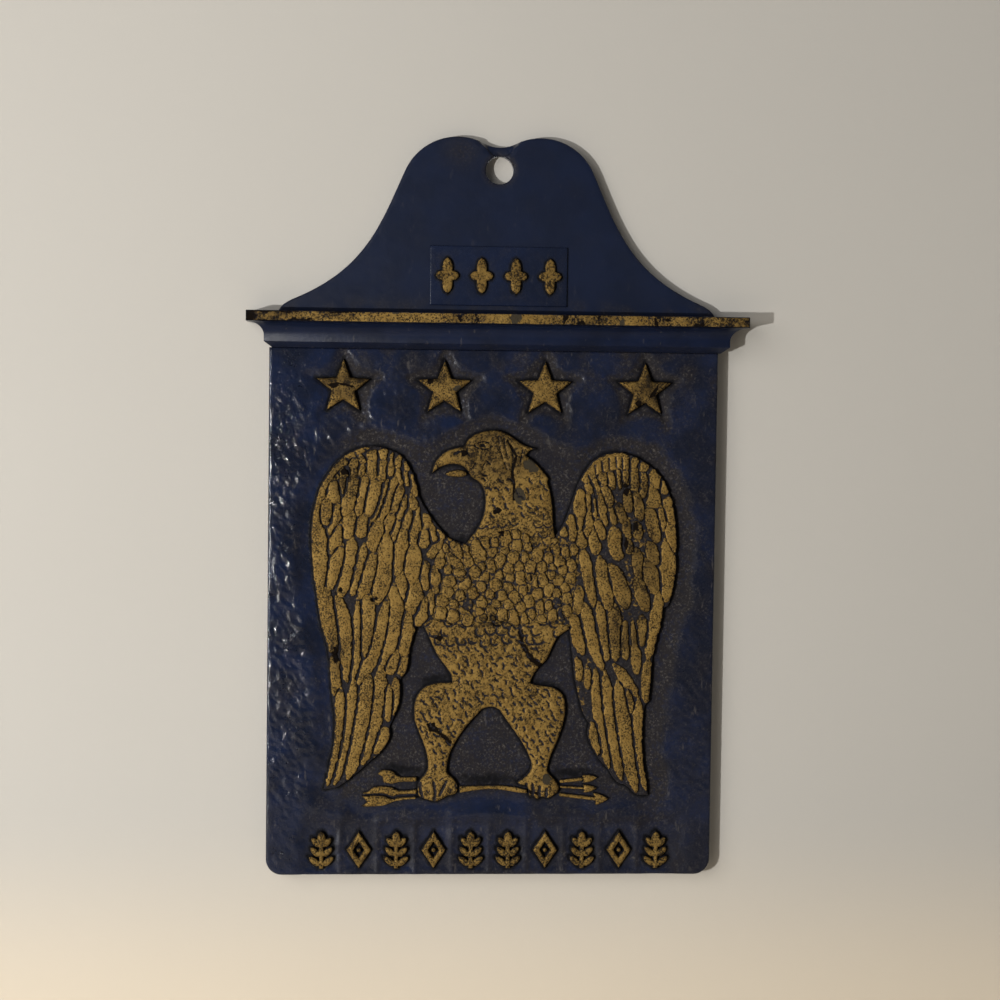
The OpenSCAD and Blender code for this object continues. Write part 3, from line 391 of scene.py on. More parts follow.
class Piece:
    """Closed solids gathered into one mesh, with the painter's masks on its points."""

    def __init__(self):
        self.co = []
        self.faces = []
        self.masks = {key: [] for key in ("gilt", "bare", "dark", "dust", "grime")}
        self.count = 0

    def solid(self, loops, points, front, back_points, back):
        """A solid between a front and a back surface; front(points) gives heights and masks."""
        top = triangulate(loops, points)
        low = triangulate(loops, back_points)
        if top is None or low is None:
            return False
        rim = sum(len(loop) for loop in loops)
        upper = np.concatenate(loops + [points])
        lower = np.concatenate(loops + [back_points])
        h, masks = front(upper)
        hb = np.maximum(back(lower), 0)
        co = np.concatenate([np.column_stack([upper[:, 0], -h, upper[:, 1]]),
                             np.column_stack([lower[:, 0], -hb, lower[:, 1]])])
        n = len(upper)
        self.faces += (top + self.count).tolist() + (low[:, ::-1] + n + self.count).tolist()
        self.faces += [(b, a, a + n, b + n) for a, b in (pairs_of(loops) + self.count).tolist()]
        self.co.append(co)
        for key in self.masks:
            value = np.broadcast_to(masks.get(key, 0), (n,)).astype(float)
            skirt = np.zeros(len(lower))
            if key != "gilt":
                skirt[:rim] = value[:rim]
            self.masks[key].append(np.concatenate([value, skirt]))
        self.count += len(co)
        return True

    def flat_backed(self, loops, points, front, foot):
        """A solid that stands on a flat, hidden foot."""
        return self.solid(loops, points, front, np.zeros((0, 2)), lambda p: np.full(len(p), foot))

    def make(self, name, material, node):
        mesh = bpy.data.meshes.new(name)
        mesh.from_pydata((np.concatenate(self.co) * MM).tolist(), [], self.faces)
        for key, parts in self.masks.items():
            set_mask(mesh, key, np.concatenate(parts))
        finish_piece(name, mesh, material, node)


def set_mask(mesh, name, values):
    mesh.attributes.new(name, "FLOAT", "POINT").data.foreach_set("value", values.astype(np.float32))


def finish_piece(name, mesh, material, node):
    """Gives the mesh its material and puts it in the place of the CAD node."""
    mesh.materials.append(material)
    piece = placed(name, mesh)
    mesh.shade_smooth()
    mesh.set_sharp_from_angle(angle=SHARP_EDGE)
    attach(piece, "root")
    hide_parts(node)


# Materials

class Paint:
    """Small helper that wires a node material."""

    def __init__(self, name):
        self.material = bpy.data.materials.new(name)
        self.material.use_nodes = True
        self.tree = self.material.node_tree
        self.shader = self.tree.nodes["Principled BSDF"]
        self.place = self.node("ShaderNodeTexCoord").outputs["Object"]

    def node(self, kind, inputs=(), **values):
        node = self.tree.nodes.new(kind)
        for key, value in values.items():
            setattr(node, key, value)
        for key, value in dict(inputs).items():
            self.feed(node.inputs[key], value)
        return node

    def feed(self, socket, value):
        if isinstance(value, bpy.types.NodeSocket):
            self.tree.links.new(value, socket)
        elif hasattr(socket.default_value, "__len__"):
            socket.default_value = (*value, 1)[:len(socket.default_value)]
        else:
            socket.default_value = value

    def dress(self, sockets):
        for key, value in sockets.items():
            self.feed(self.shader.inputs[key], value)

    def math(self, operation, a, b=0.0, clamp=False):
        return self.node("ShaderNodeMath", {0: a, 1: b}, operation=operation, use_clamp=clamp).outputs[0]

    def plus(self, a, b, clamp=False):
        return self.math("ADD", a, b, clamp)

    def minus(self, a, b):
        return self.math("SUBTRACT", a, b)

    def times(self, a, b):
        return self.math("MULTIPLY", a, b)

    def larger(self, a, b):
        return self.math("MAXIMUM", a, b)

    def noise(self, scale, detail=2.0, rough=0.5, stretch=(1, 1, 1), turn=0.0, seed=0.0):
        place = {"Vector": self.place, "Location": (seed, seed * 0.37, seed * 0.71),
                 "Rotation": (0, turn, 0), "Scale": stretch}
        look = {"Vector": self.node("ShaderNodeMapping", place).outputs[0], "Scale": scale,
                "Detail": detail, "Roughness": rough}
        return self.node("ShaderNodeTexNoise", look).outputs["Fac"]

    def step(self, value, low, high, to_low=0.0, to_high=1.0):
        limits = {"Value": value, "From Min": low, "From Max": high, "To Min": to_low, "To Max": to_high}
        return self.node("ShaderNodeMapRange", limits, interpolation_type="SMOOTHSTEP").outputs[0]

    def spots(self, scale, detail, rough, seed, *limits):
        """Noise with its range stretched."""
        return self.step(self.noise(scale, detail, rough, seed=seed), *limits)

    def mask(self, name):
        return self.node("ShaderNodeAttribute", attribute_name=name).outputs["Fac"]

    def mix(self, amount, a, b):
        return self.node("ShaderNodeMix", {0: amount, 6: a, 7: b}, data_type="RGBA").outputs[2]

    def blend(self, amount, a, b):
        return self.node("ShaderNodeMix", {0: amount, 2: a, 3: b}, data_type="FLOAT").outputs[0]

    def bump(self, height, depth):
        look = {"Strength": 1.0, "Distance": depth * MM, "Height": height}
        return self.node("ShaderNodeBump", look).outputs[0]


def srgb(*shown):
    """A colour given as it looks on a screen, from 0 to 255."""
    return tuple(c / 12.92 if c <= 0.04045 else ((c + 0.055) / 1.055) ** 2.4 for c in np.array(shown) / 255)


NAVY = srgb(15, 22, 38)
NAVY_LIGHT = srgb(18, 28, 54)
NAVY_DEEP = srgb(9, 13, 25)
DUST = srgb(30, 28, 30)
DUST_PALE = srgb(88, 84, 80)
BRONZE = srgb(123, 98, 51)
BRONZE_PALE = srgb(132, 107, 58)
BRONZE_BROWN = srgb(100, 77, 37)
SOOT = srgb(34, 28, 20)
BARE_DARK = srgb(17, 13, 10)
PRIMER = srgb(52, 47, 38)
# Near-black for grime, and for painted shade round the relief
GRIME_AND_SHADE_BLACK = srgb(10, 10, 13)


def enamel_colour(paint, seed, dusty, scuffed, mottle):
    """Navy enamel, mottled, with dust where the mask or the deep places call for it, and near-black where the
    grime mask holds grime or painted shade.
    """
    broad = paint.noise(90, 3, 0.55, seed=seed)
    fine = paint.noise(900, 4, 0.6, seed=seed + 3)
    shade = paint.step(broad, 0.35, 0.65, 0.5 - 0.5 * mottle, 0.5 + 0.5 * mottle)
    colour = paint.mix(shade, NAVY_DEEP, NAVY_LIGHT)
    even = paint.step(fine, 0.3, 0.7, 0.35 - 0.25 * mottle, 0.35 + 0.25 * mottle)
    colour = paint.mix(even, colour, NAVY)
    dust = paint.times(paint.mask("dust"), paint.step(fine, 0.2, 0.6, 0.35, 1))
    dust = paint.plus(dust, paint.times(paint.spots(140, 4, 0.6, seed + 7, 0.48, 0.7), dusty), True)
    colour = paint.mix(dust, colour, DUST)
    grit = paint.spots(1400, 5, 0.8, seed + 11, 0.5, 0.72)
    where = paint.spots(260, 3, 0.6, seed + 12, 0.35, 0.65, 0.35, 1.0)
    grit = paint.times(grit, paint.times(dust, where))
    strokes = paint.noise(520, 4, 0.65, (1, 1, 0.3), math.radians(-38), seed + 13)
    grit = paint.larger(grit, paint.times(paint.step(strokes, 0.62, 0.72), scuffed))
    colour = paint.mix(grit, colour, DUST_PALE)
    # Darkened towards near-black by the grime mask: grime, and on the panel and tablet painted shade round
    # the relief
    grime = paint.plus(paint.mask("grime"), paint.step(fine, 0.2, 0.8, -0.15, 0.15))
    grime = paint.step(grime, 0.2, 0.9)
    return paint.mix(grime, colour, GRIME_AND_SHADE_BLACK), paint.larger(dust, paint.times(grime, 0.7))


def bronze_colour(paint, seed, tone):
    """Bronze paint, uneven, pitted and stained, worn to black or grey by the masks."""
    bronze = paint.mix(paint.step(tone, 0.32, 0.68), BRONZE_BROWN, BRONZE_PALE)
    bronze = paint.mix(paint.spots(1900, 3, 0.7, seed + 41, 0.35, 0.65), bronze, BRONZE)
    where = paint.spots(160, 3, 0.6, seed + 45, 0.3, 0.7, -0.03, 0.05)
    pit = paint.step(paint.minus(paint.noise(1900, 4, 0.72, seed=seed + 43), where), 0.38, 0.5, 0.9, 0)
    stain = paint.times(paint.spots(480, 4, 0.7, seed + 47, 0.5, 0.68), 0.6)
    dull = paint.times(paint.mask("grime"), paint.step(tone, 0.3, 0.7, 0.75, 0.35))
    bronze = paint.mix(paint.plus(pit, paint.plus(stain, dull), True), bronze, SOOT)
    wobble = paint.spots(900, 4, 0.65, seed + 53, 0.25, 0.75, -0.3, 0.3)
    bare = paint.step(paint.plus(paint.mask("bare"), wobble), 0.45, 0.6)
    dark = paint.step(paint.plus(paint.mask("dark"), wobble), 0.45, 0.62)
    whole = paint.minus(1.0, paint.larger(bare, dark))
    return paint.mix(bare, paint.mix(dark, bronze, BARE_DARK), PRIMER), pit, whole


def cast_paint(name, seed, dusty=0.06, gilded=False, gloss=0.3, bump=0.05, scuffed=0.3, mottle=0.8,
               sheen=0.33):
    """Enamel on rough iron, with bronze paint on what the gilt mask lifts where it is gilded."""
    paint = Paint(name)
    colour, dust = enamel_colour(paint, seed, dusty, scuffed, mottle)
    shiny = paint.step(dust, 0.05, 0.7, sheen, 0.06)
    rough = paint.plus(paint.step(dust, 0, 1, gloss, 0.62),
                       paint.spots(700, 3, 0.5, seed + 5, 0.3, 0.7, -0.04 * mottle, 0.06 * mottle))
    height = paint.plus(paint.noise(1100, 5, 0.62, seed=seed + 17),
                        paint.times(paint.noise(380, 3, 0.5, seed=seed + 23), 1.2))
    if gilded:
        edge = paint.spots(1300, 4, 0.6, seed + 31, 0.25, 0.75, -0.28, 0.28)
        gilt = paint.step(paint.plus(paint.mask("gilt"), edge), 0.5, 0.72)
        tone = paint.noise(230, 4, 0.6, seed=seed + 37)
        bronze, pit, whole = bronze_colour(paint, seed, tone)
        colour = paint.mix(gilt, colour, bronze)
        shine = paint.times(gilt, whole)
        shiny = paint.times(shiny, paint.larger(whole, 0.15))
        rough = paint.blend(shine, rough, paint.step(tone, 0.3, 0.7, 0.42, 0.55))
        height = paint.plus(paint.minus(height, paint.times(pit, 0.8)), paint.times(shine, 0.5))
        paint.dress({"Metallic": paint.times(shine, 0.25)})
    else:
        height = paint.times(height, paint.step(paint.mask("gilt"), 0, 1, 0.7, 2.2))
    paint.dress({"Base Color": colour, "Roughness": rough, "Specular IOR Level": shiny,
                 "Normal": paint.bump(height, bump)})
    return paint.material


# Height of each layer, taken from the solids

GROUND, FACE = levels("field_panel")
POCKET = max(levels("field_panel", BACK))
SLAB = levels("left_wing")[-1]
TOP = levels("eagle_head")[-1]
SINK = 0.3

# Cast panel

LUMP_TURN = -52


def lumps(points):
    """Hammered face of the panel: soft lumps drawn out on a slant."""
    q = turned(points, LUMP_TURN) * [0.55, 1.0]
    left = ramp(5, -45, points[:, 0]) * 0.6 + 0.55
    return (0.09 * wander(q, 2.6, 3) + 0.16 * wander(q, 1.25, 5)) * left + 0.08 * wander(points, 11, 7)


# Painted shadows: near-black patches on the ground above the thighs, arrows and wing notches, where the
# relief's shadow falls; x, height, two radii, turn in degrees if any
PAINTED_SHADOW_PATCHES = [
    (-16.8, 59.4, 5, 1.7, 12), (16.3, 57.5, 5, 1.5, -8), (-26.6, 32, 8, 1.7, -4), (24.6, 31, 8, 1.5),
    (-1.3, 28.8, 11, 1.9), (-9.3, 100.5, 3, 2.5), (18.6, 104, 1.6, 6, 20), (-25, 70, 1.6, 9, -8)
]


def patches(points, places, soft=0.35):
    """How strongly each point belongs to the worn places, from 0 to 1."""
    total = np.zeros(len(points))
    points = points + 0.7 * np.stack([wander(points, 1.7, 201), wander(points, 1.7, 203)], 1)
    for x, z, rx, rz, *turn in places:
        off = np.linalg.norm(turned(points - on_panel((x, z)), *turn) / [rx, rz], axis=1)
        total = np.maximum(total, ramp(1 + soft, 1 - soft, off))
    return total


def make_panel():
    paint = cast_paint("panel_enamel", 1.3, dusty=0.3, gloss=0.09)
    outer = [oriented(by_size(flat_loops(["field_panel"]))[0])]
    edge = [resampled(outer[0], turns(outer[0]) > math.radians(60), 0.6)]
    walls = [smoothed(oriented(loop), 0.4, 60) for loop in flat_loops(["field_panel"], GROUND)]
    near = []
    for loop in walls:
        for d in (-0.4, 0.0, 0.4):
            q = loop + d * inward(loop)
            near.append(q[distance(q, walls) > 0.93 * abs(d) - 0.01])
    near = np.concatenate(near)
    near = near[inside(near, outer) & (distance(near, outer) > 0.8)]
    grid = fill(edge, (0.12, 0.3, 0.6), 0.62)
    grid = grid[(distance(grid, walls) > 0.7) | (distance(grid, outer) < 0.7)]
    relief = FIGURE_EDGE + RAISED_EDGE

    def front(p):
        d = distance(p, edge)
        across, high = (p + PANEL_PLACE).T
        star_zone = ramp(134, 137, high)
        reach = 3.6 - 1.2 * star_zone + 1.6 * ramp(44, 50, across) * (1 - star_zone)
        wall = ramp(0, 1, (within(p, walls) + reach + 0.8 * wander(p, 5, 9)) / (reach + 1.7))
        low = ramp(26, 20, high)
        calm = ramp(0.0, 1.5, d) * (1 - 0.6 * ramp(150, 156, high)) * (1 - 0.55 * wall) * (1 - 0.6 * low)
        calm = calm * (1 - 0.45 * ramp(122, 145, high) * ramp(-40, -60, across))
        face = FACE + lumps(p) * calm
        ground = GROUND + lumps(p) * 0.3 * ramp(-40, -52, across) + 0.03 * wander(p, 1.6, 11)
        h = face + (ground + 0.05 * wander(p, 6, 13) - face) * wall - rounded(d, 0.55)
        beyond = np.maximum(ramp(-42, -50, across), ramp(26, 20, high))
        slope = 4 * wall * (1 - wall)
        dust = wall * 0.85 * (1 - beyond) + 0.3 * wander(p, 9, 17) + 0.15 + 0.5 * slope
        brown = 0.25 * ramp(-10, 50, across) + 0.55 * ramp(136, 156, high) * ramp(-0.3, 0.5, wander(p, 6, 19))
        feet = np.exp(-(across / 14) ** 2 - ((high - 20) / 4) ** 2)
        dust = np.clip(np.maximum(dust, brown), 0, 1) * (1 - feet) * (1 - 0.8 * ramp(-42, -54, across))
        # Near-black ring round the relief and stars: painted shade where the relief meets the ground, with
        # some grime; the patches are painted shadows cast upward by the relief
        grime = 0.9 * np.exp(-(distance(p, relief) / (1.0 + 0.35 * wander(p, 3, 27))) ** 2)
        grime = np.maximum(grime, 0.8 * patches(p, PAINTED_SHADOW_PATCHES, 0.9))
        return h, {"dust": dust, "grime": grime, "gilt": ramp(-35, -60, across)}

    pocket = [smoothed(loop, 0.8, 60) for loop in flat_loops(["field_panel"], POCKET, BACK)]
    rim_points = [loop + d * inward(loop) for loop in pocket for d in (-0.6, 0, 0.6)]
    back_points = fill(edge, (0.5,), 2.2)
    back_points = np.concatenate([back_points[distance(back_points, pocket) > 1.2]] + rim_points)

    def back(p):
        sink = within(p, pocket)
        rough = 0.06 * wander(p, 3, 23) * ramp(0, 2, sink)
        return POCKET * ramp(-0.6, 0.6, sink) + rough + rounded(distance(p, edge), 0.5)

    piece = Piece()
    piece.solid(edge, np.concatenate([grid, near]), front, back_points, back)
    piece.make("cast_panel", paint, "field_panel")


def stepped(names):
    """Outlines of small relief with plain corners."""
    return [resampled(loop, turns(loop) > 0.5, 0.5) for name in names for loop in flat_loops([name])]


FIGURE = ["left_wing", "right_wing", "eagle_breast", "eagle_head", "eagle_belly", "left_leg", "right_leg"]
FIGURE_EDGE = [smoothed(loop, 0.35, 50) for loop in flat_loops(FIGURE) if abs(area(loop)) > SLIVER]
RAISED_EDGE = stepped(["stars", "frieze_sprigs", "frieze_lozenges"])

make_panel()

# Crest

# Low part of the saddle above the hole, from the hole's middle
WEB = np.array([
    (-6.1, 8.2), (-4.2, 6.6), (-2.7, 4.6), (0, 3.6), (3.1, 4.8), (4.2, 6.6), (5.8, 8), (5.8, 12), (-6.1, 12)
])


def make_crest():
    paint = cast_paint("crest_enamel", 4.7, bump=0.03, scuffed=0.06, mottle=0.25)
    web_level, *_, top_level = levels("crest_panel")
    outer, *_, hole = by_size(flat_loops(["crest_panel"]))
    edge = [smoothed(oriented(outer), 0.45, 30), smoothed(oriented(hole, 1), 0.35, 60)]
    hole_mid = (hole.min(0) + hole.max(0)) / 2
    web = [resampled(hole_mid + WEB, np.ones(len(WEB), bool), 0.35)]
    near = np.concatenate([web[0] + [0, d] for d in (-0.5, -0.25, 0.0, 0.25)])
    near = near[inside(near, edge) & (distance(near, edge) > 0.7)]
    grid = fill(edge, (0.1, 0.25, 0.5), 1.0)
    grid = grid[distance(grid, web) > 0.9]

    def front(p):
        d = distance(p, edge)
        h = top_level - (top_level - web_level) * ramp(-0.25, 0.35, within(p, web))
        h = h + 0.05 * wander(p, 14, 29) + 0.015 * wander(p, 3, 31) - rounded(d, 0.5)
        from_hole = np.linalg.norm(p - hole_mid, axis=1)
        across, high = (p + PANEL_PLACE).T
        lobe = np.exp(-((across + 10.5) / 4.5) ** 2 - ((high - 216.5) / 4.5) ** 2)
        low_dust = ramp(175, 169, high) * ramp(-0.3, 0.5, wander(p, 6, 37))
        scuff = ramp(0.8, 0.1, d) * ramp(0.1, 0.6, wander(p, 4, 41))
        dust = 0.55 * lobe + 0.5 * (low_dust + scuff + ramp(6.2, 4.4, from_hole))
        return h, {"dust": np.clip(dust, 0, 1)}

    def back(p):
        d = distance(p, edge)
        return rounded(d, 0.4) + 0.03 * wander(p, 5, 43) * ramp(0, 1, d)

    piece = Piece()
    piece.solid(edge, np.concatenate([grid, near]), front, fill(edge, (0.4,), 2.5), back)
    piece.make("cast_crest", paint, "crest_panel")


make_crest()


def make_tablet():
    paint = cast_paint("tablet_enamel", 6.1, dusty=0.08, gloss=0.26, scuffed=0.1, mottle=0.4)
    loop = oriented(flat_loops(["crest_tablet"])[0])
    edge = [resampled(loop, turns(loop) > 1, 0.4)]
    top = levels("crest_tablet")[-1]

    def front(p):
        d = distance(p, edge)
        h = top + 0.03 * wander(p, 2.5, 47) - rounded(d, 0.3)
        # Darker ring round the blossoms: painted shade where they meet the tablet
        off = distance(p, BLOSSOM_EDGE)
        return h, {"dust": 0.25 * wander(p, 4, 53), "grime": 0.8 * np.exp(-(off / 0.8) ** 2)}

    piece = Piece()
    piece.flat_backed(edge, fill(edge, (0.08, 0.2, 0.34), 0.7), front, levels("crest_tablet", BACK)[0] - SINK)
    piece.make("cast_tablet", paint, "crest_tablet")


BLOSSOM_EDGE = stepped(["tablet_blossoms"])
make_tablet()

# Cornice

def make_cornice():
    paint = cast_paint("cornice_enamel", 7.9, mottle=0.5, sheen=0.14)
    body = bmesh.new()
    body.from_mesh(NODES["cornice"].data)
    bmesh.ops.remove_doubles(body, verts=body.verts, dist=1e-6)
    bmesh.ops.dissolve_limit(body, angle_limit=math.radians(1), verts=body.verts, edges=body.edges)
    sharp = [e for e in body.edges if e.calc_face_angle(0) > math.radians(24)]
    bmesh.ops.bevel(body, geom=sharp, offset=0.35 * MM, segments=3, profile=0.5, affect="EDGES",
                    clamp_overlap=True)
    bmesh.ops.triangulate(body, faces=body.faces)
    mesh = bpy.data.meshes.new("cast_cornice")
    body.to_mesh(mesh)
    body.free()
    under = ramp(160.5, 158, corner_points(mesh)[:, 2] + PANEL_PLACE[1])
    set_mask(mesh, "dust", 0.02 + 0.25 * under)
    finish_piece("cast_cornice", mesh, paint, "cornice")


make_cornice()

# Places where the gilding is gone: x from the panel's middle, height, two radii, turn in degrees if any

FILLET_DARK = [
    (-73, 167, 3, 3), (-65, 168.3, 8, 0.7), (-58, 165.6, 5, 0.6), (-46, 168.3, 6, 0.4),
    (-11, 167, 0.9, 2, 20), (-6, 166.4, 0.5, 1.8), (20, 167, 0.8, 2.6, -15), (25, 166, 1.8, 0.7),
    (30, 167.4, 0.6, 2, 10), (47, 166.6, 0.6, 2.4, 15), (50.5, 167.4, 0.7, 1.2), (60, 165.8, 2, 1),
    (75, 167, 1, 3)
]
FILLET_DULL = [
    (-68, 167.3, 14, 4), (-66, 168, 12, 2.5), (-46, 168, 9, 1), (25, 167, 9, 2.5), (49, 167, 4, 3),
    (60, 167, 4, 3), (72, 167, 6, 4), (-9, 167, 5, 2)
]
FILLET_BARE = [(5.4, 167, 1.8, 1.5), (37, 166.2, 1.2, 0.8), (-30, 168, 1.6, 0.7)]
GOUGES = [
    (-17.6, 45, 1.9, 1.1, -20), (-35.6, 83.3, 1.3, 0.8), (-16, 72, 1.4, 1.1), (0.9, 110.2, 1.1, 1),
    (2.4, 103.2, 1.1, 0.9), (-9, 127, 0.9, 1.1), (-45.4, 86.1, 0.7, 0.7), (-43.9, 121.4, 1.5, 1.4),
    (-46.7, 66.6, 1.2, 2.2), (39.6, 116.6, 1.6, 1.8), (42.5, 105.5, 1.2, 1.5), (39.6, 100.6, 1.3, 2),
    (-47.5, 147, 2, 0.6, 12), (-44, 147, 2.2, 0.6, -14), (-19.3, 149, 0.9, 1.3), (47.7, 146, 0.7, 2.6, -35),
    (43.4, 142.4, 1, 1.2)
]
GREYS = [
    (7.8, 114.6, 1.7, 2.6, 10), (11, 123.6, 2.5, 1.7, -28), (17, 29.2, 1.5, 1.6), (-11.3, 146.5, 1.3, 1.1, 20)
]
GASHES = [
    ([(8.6, 74), (9.1, 70.1), (12.2, 65.4), (15.3, 63.1)], 0.7), ([(-17, 44.6), (-12.2, 40.4)], 0.6),
    ([(3.9, 130.8), (6.6, 126.5), (5.4, 121.5), (6, 117.8)], 0.4), ([(6, 118), (6.1, 113.6)], 0.45),
    ([(11.4, 25.5), (14.6, 25)], 0.5)
]
RINGS = [(-10.5, 57, 1.1), (-10.5, 46.5, 1.1), (8, 48.5, 1.1)]
WORN_WING = [
    (41, 112, 5, 6, 20), (43, 98, 4, 9, -8), (41, 84, 3.5, 9, 5), (38, 70, 5, 4), (26, 93, 1.5, 6),
    (27.4, 56, 1.9, 12, -10)
]
DULL = [
    (-45, 148.5, 9, 4.5, -20), (-17, 151, 3, 3), (47, 147, 6, 6), (41, 112, 7, 8), (44, 95, 6, 14),
    (40, 75, 6, 9), (-45, 120, 5, 6, 20), (-47, 66, 2.5, 6), (-1, 126, 11, 9), (0, 77, 4, 2)
]
PALE_SCALES = [(-7.3, 81.5), (20.6, 78.6), (19.6, 82.4)]


def make_fillet():
    paint = cast_paint("fillet_gilding", 9.2, dusty=0.3, gilded=True, gloss=0.24)
    loop = oriented(flat_loops(["cornice_fillet"])[0])
    edge = [resampled(loop, turns(loop) > 1, 0.45)]
    top = levels("cornice_fillet")[-1]

    def front(p):
        d = distance(p, edge)
        h = np.minimum(top + 0.03 * wander(p, 2.2, 59) * ramp(0.2, 1, d) - rounded(d, 0.35), top)
        dark = patches(p, FILLET_DARK, 0.6) * 0.8 + 0.2 * ramp(0.2, 0.8, wander(p, 3.2, 67))
        dull = patches(p, FILLET_DULL, 0.8) * (0.8 + 0.4 * wander(p, 1.5, 69))
        gilt = ramp(0.0, 0.3, d) * 0.9 + 0.12 * wander(p, 2.5, 61) - 0.25 * dull
        return h, {"gilt": gilt, "dark": dark, "bare": patches(p, FILLET_BARE), "dust": 0.9, "grime": dull}

    def back(p):
        return rounded(distance(p, edge), 0.3)

    piece = Piece()
    piece.solid(edge, fill(edge, (0.1, 0.22, 0.36), 0.5), front, fill(edge, (0.3,), 1.5), back)
    piece.make("gilded_fillet", paint, "cornice_fillet")


make_fillet()

# Relief

def engraved(points, lines, width, depth):
    """Depth of cut grooves: lines are open runs of points on the panel."""
    cut = np.zeros(len(points))
    if lines:
        runs = [on_panel(line) for line in lines]
        ends = np.concatenate(runs)
        near = np.all((points > ends.min(0) - 2) & (points < ends.max(0) + 2), 1)
        d = distance(points[near], runs, closed=False)
        cut[near] = depth * np.exp(-(d / (0.5 * width)) ** 2 * 0.9)
    return cut


def laid(curve, at, lean):
    """The curve turned and moved to its place, measured on the panel."""
    return turned(curve, -lean) + at + PANEL_PLACE


def comma_marks(loops, pitch, lean, seed, low, high):
    """Short curved nicks in staggered rows, hanging like small feathers."""
    rng = np.random.default_rng(seed)
    marks = []
    left, z = np.concatenate(loops).min(0)
    right, top = np.concatenate(loops).max(0)
    row = 0
    while z < top:
        x = left + (row % 2) * pitch / 2
        while x < right:
            at = np.array([x, z]) + rng.normal(0, 0.38, 2)
            x += pitch
            if not low < at[1] + PANEL_PLACE[1] < high or rng.random() <= 0.16:
                continue
            if within(at[None], loops)[0] <= 0.9:
                continue
            half = rng.uniform(0.45, 1.0)
            tilt = lean + rng.normal(0, 20)
            bend = 0.35 * half * rng.choice([-1, 1])
            marks.append(laid(np.array([(-half, 0), (0, bend), (half, 0)]), at, tilt))
        z += pitch * 0.86
        row += 1
    return marks


def crescents(loops, places, seed):
    """Hanging U-shaped nicks, like the lower edges of small feathers.
    places are low, high, left, right and lean."""
    rng = np.random.default_rng(seed)
    marks = []
    for low, high, left, right, lean in places:
        for row, z in enumerate(np.arange(low, high, 2.7)):
            for x in np.arange(left + (row % 2) * 1.7, right, 3.4):
                at = on_panel((x, z)) + rng.normal(0, 0.3, 2)
                if rng.random() < 0.12 or not inside(at[None], loops)[0]:
                    continue
                half = rng.uniform(1.1, 1.7)
                ts = np.linspace(-1, 1, 5)
                curve = half * np.stack([ts, 0.75 * ts ** 2], 1)
                marks.append(laid(curve, at, lean + rng.normal(0, 12)))
    return marks


def relief_solid(piece, loops, base, top, shoulder, crown, seed, step=0.34, edge_loops=None,
                 cuts=(), shape=None, tarnish=0.0):
    """One raised solid with soft shoulders; cuts are (lines, width, depth)."""
    edge_loops = edge_loops or loops
    points = fill(loops, (0.12, 0.3), step)

    def front(p):
        d = distance(p, edge_loops)
        t = np.clip(d / shoulder, 0, 1)
        cut = np.zeros(len(p))
        for lines, width, depth in cuts:
            cut = np.maximum(cut, engraved(p, lines, width, depth))
        for x, z, r in RINGS:
            ring = np.abs(np.linalg.norm(p - on_panel((x, z)), axis=1) - r)
            cut = np.maximum(cut, 0.16 * np.exp(-(ring / 0.28) ** 2))
        dark = patches(p, GOUGES)
        for line, half in GASHES:
            dark = np.maximum(dark, engraved(p, [line], 2.4 * half, 1.0))
        bare = patches(p, GREYS)
        lump = 0.035 * wander(p, 0.9, seed) + 0.05 * wander(p, 3.1, seed + 1)
        h = base + (top - base) * (0.22 + 0.78 * dome(t)) + crown * (1 - np.exp(-(d / 1.6) ** 2)) + lump * t
        h = np.maximum(h - cut - 0.15 * dark - 0.03 * bare, base - 0.1)
        gilt = ramp(-0.05, 0.3, d) - 0.9 * np.clip(cut / 0.4, 0, 1) + 0.12 * wander(p, 1.4, seed + 2)
        if shape:
            h, gilt = shape(p, h, gilt)
        dull = np.clip(tarnish + 0.75 * patches(p, DULL), 0, 1)
        return h, {"gilt": gilt, "dark": dark, "bare": bare, "dust": 1.1, "grime": dull}

    return piece.flat_backed(loops, points, front, base - SINK)


def outlines_of(node, step, sharp):
    """Smooth outlines of each of the node's solids."""
    for group in islands(flat_loops([node])):
        yield [smoothed(oriented(loop, k), step, sharp) for k, loop in enumerate(group)]


def make_slab(name, node, seed, least):
    """Dark slab under the feathers, gilded where the noise is above the least value."""
    top = SLAB + 0.3 * (TOP - SLAB)

    def front(p):
        t = np.clip(distance(p, FIGURE_EDGE) / 0.35, 0, 1)
        h = GROUND + (top - GROUND) * (0.25 + 0.75 * dome(t)) + (0.04 * wander(p, 1.2, seed) - 0.08) * t
        worn = patches(p, WORN_WING) * ramp(-0.4, 0.5, wander(p, 1.3, seed + 2))
        bridge = 0.85 * ramp(least, least + 0.3, wander(p, 1.1, seed + 3))
        gilt = np.maximum(0.12 + 0.62 * worn, bridge)
        return h, {"gilt": gilt, "dust": 1.1 + 0.3 * wander(p, 3, seed + 1), "grime": 0.3 * worn}

    piece = Piece()
    for loops in outlines_of(node, 0.4, 50):
        piece.flat_backed(loops, fill(loops, (0.15, 0.35), 0.7), front, GROUND - SINK)
    piece.make(name, SLAB_PAINT, node)


SLAB_PAINT = cast_paint("groove_enamel", 11.3, dusty=1.3, gilded=True, gloss=0.4, bump=0.07, scuffed=0.1)
GOLD_PAINT = cast_paint("relief_gilding", 12.9, dusty=1.2, gilded=True, gloss=0.24, bump=0.07, scuffed=0.1)

make_slab("left_wing_slab", "left_wing", 81, 0.6)
make_slab("right_wing_slab", "right_wing", 83, 0.6)
make_slab("breast_slab", "eagle_breast", 85, -0.35)

# Feathers

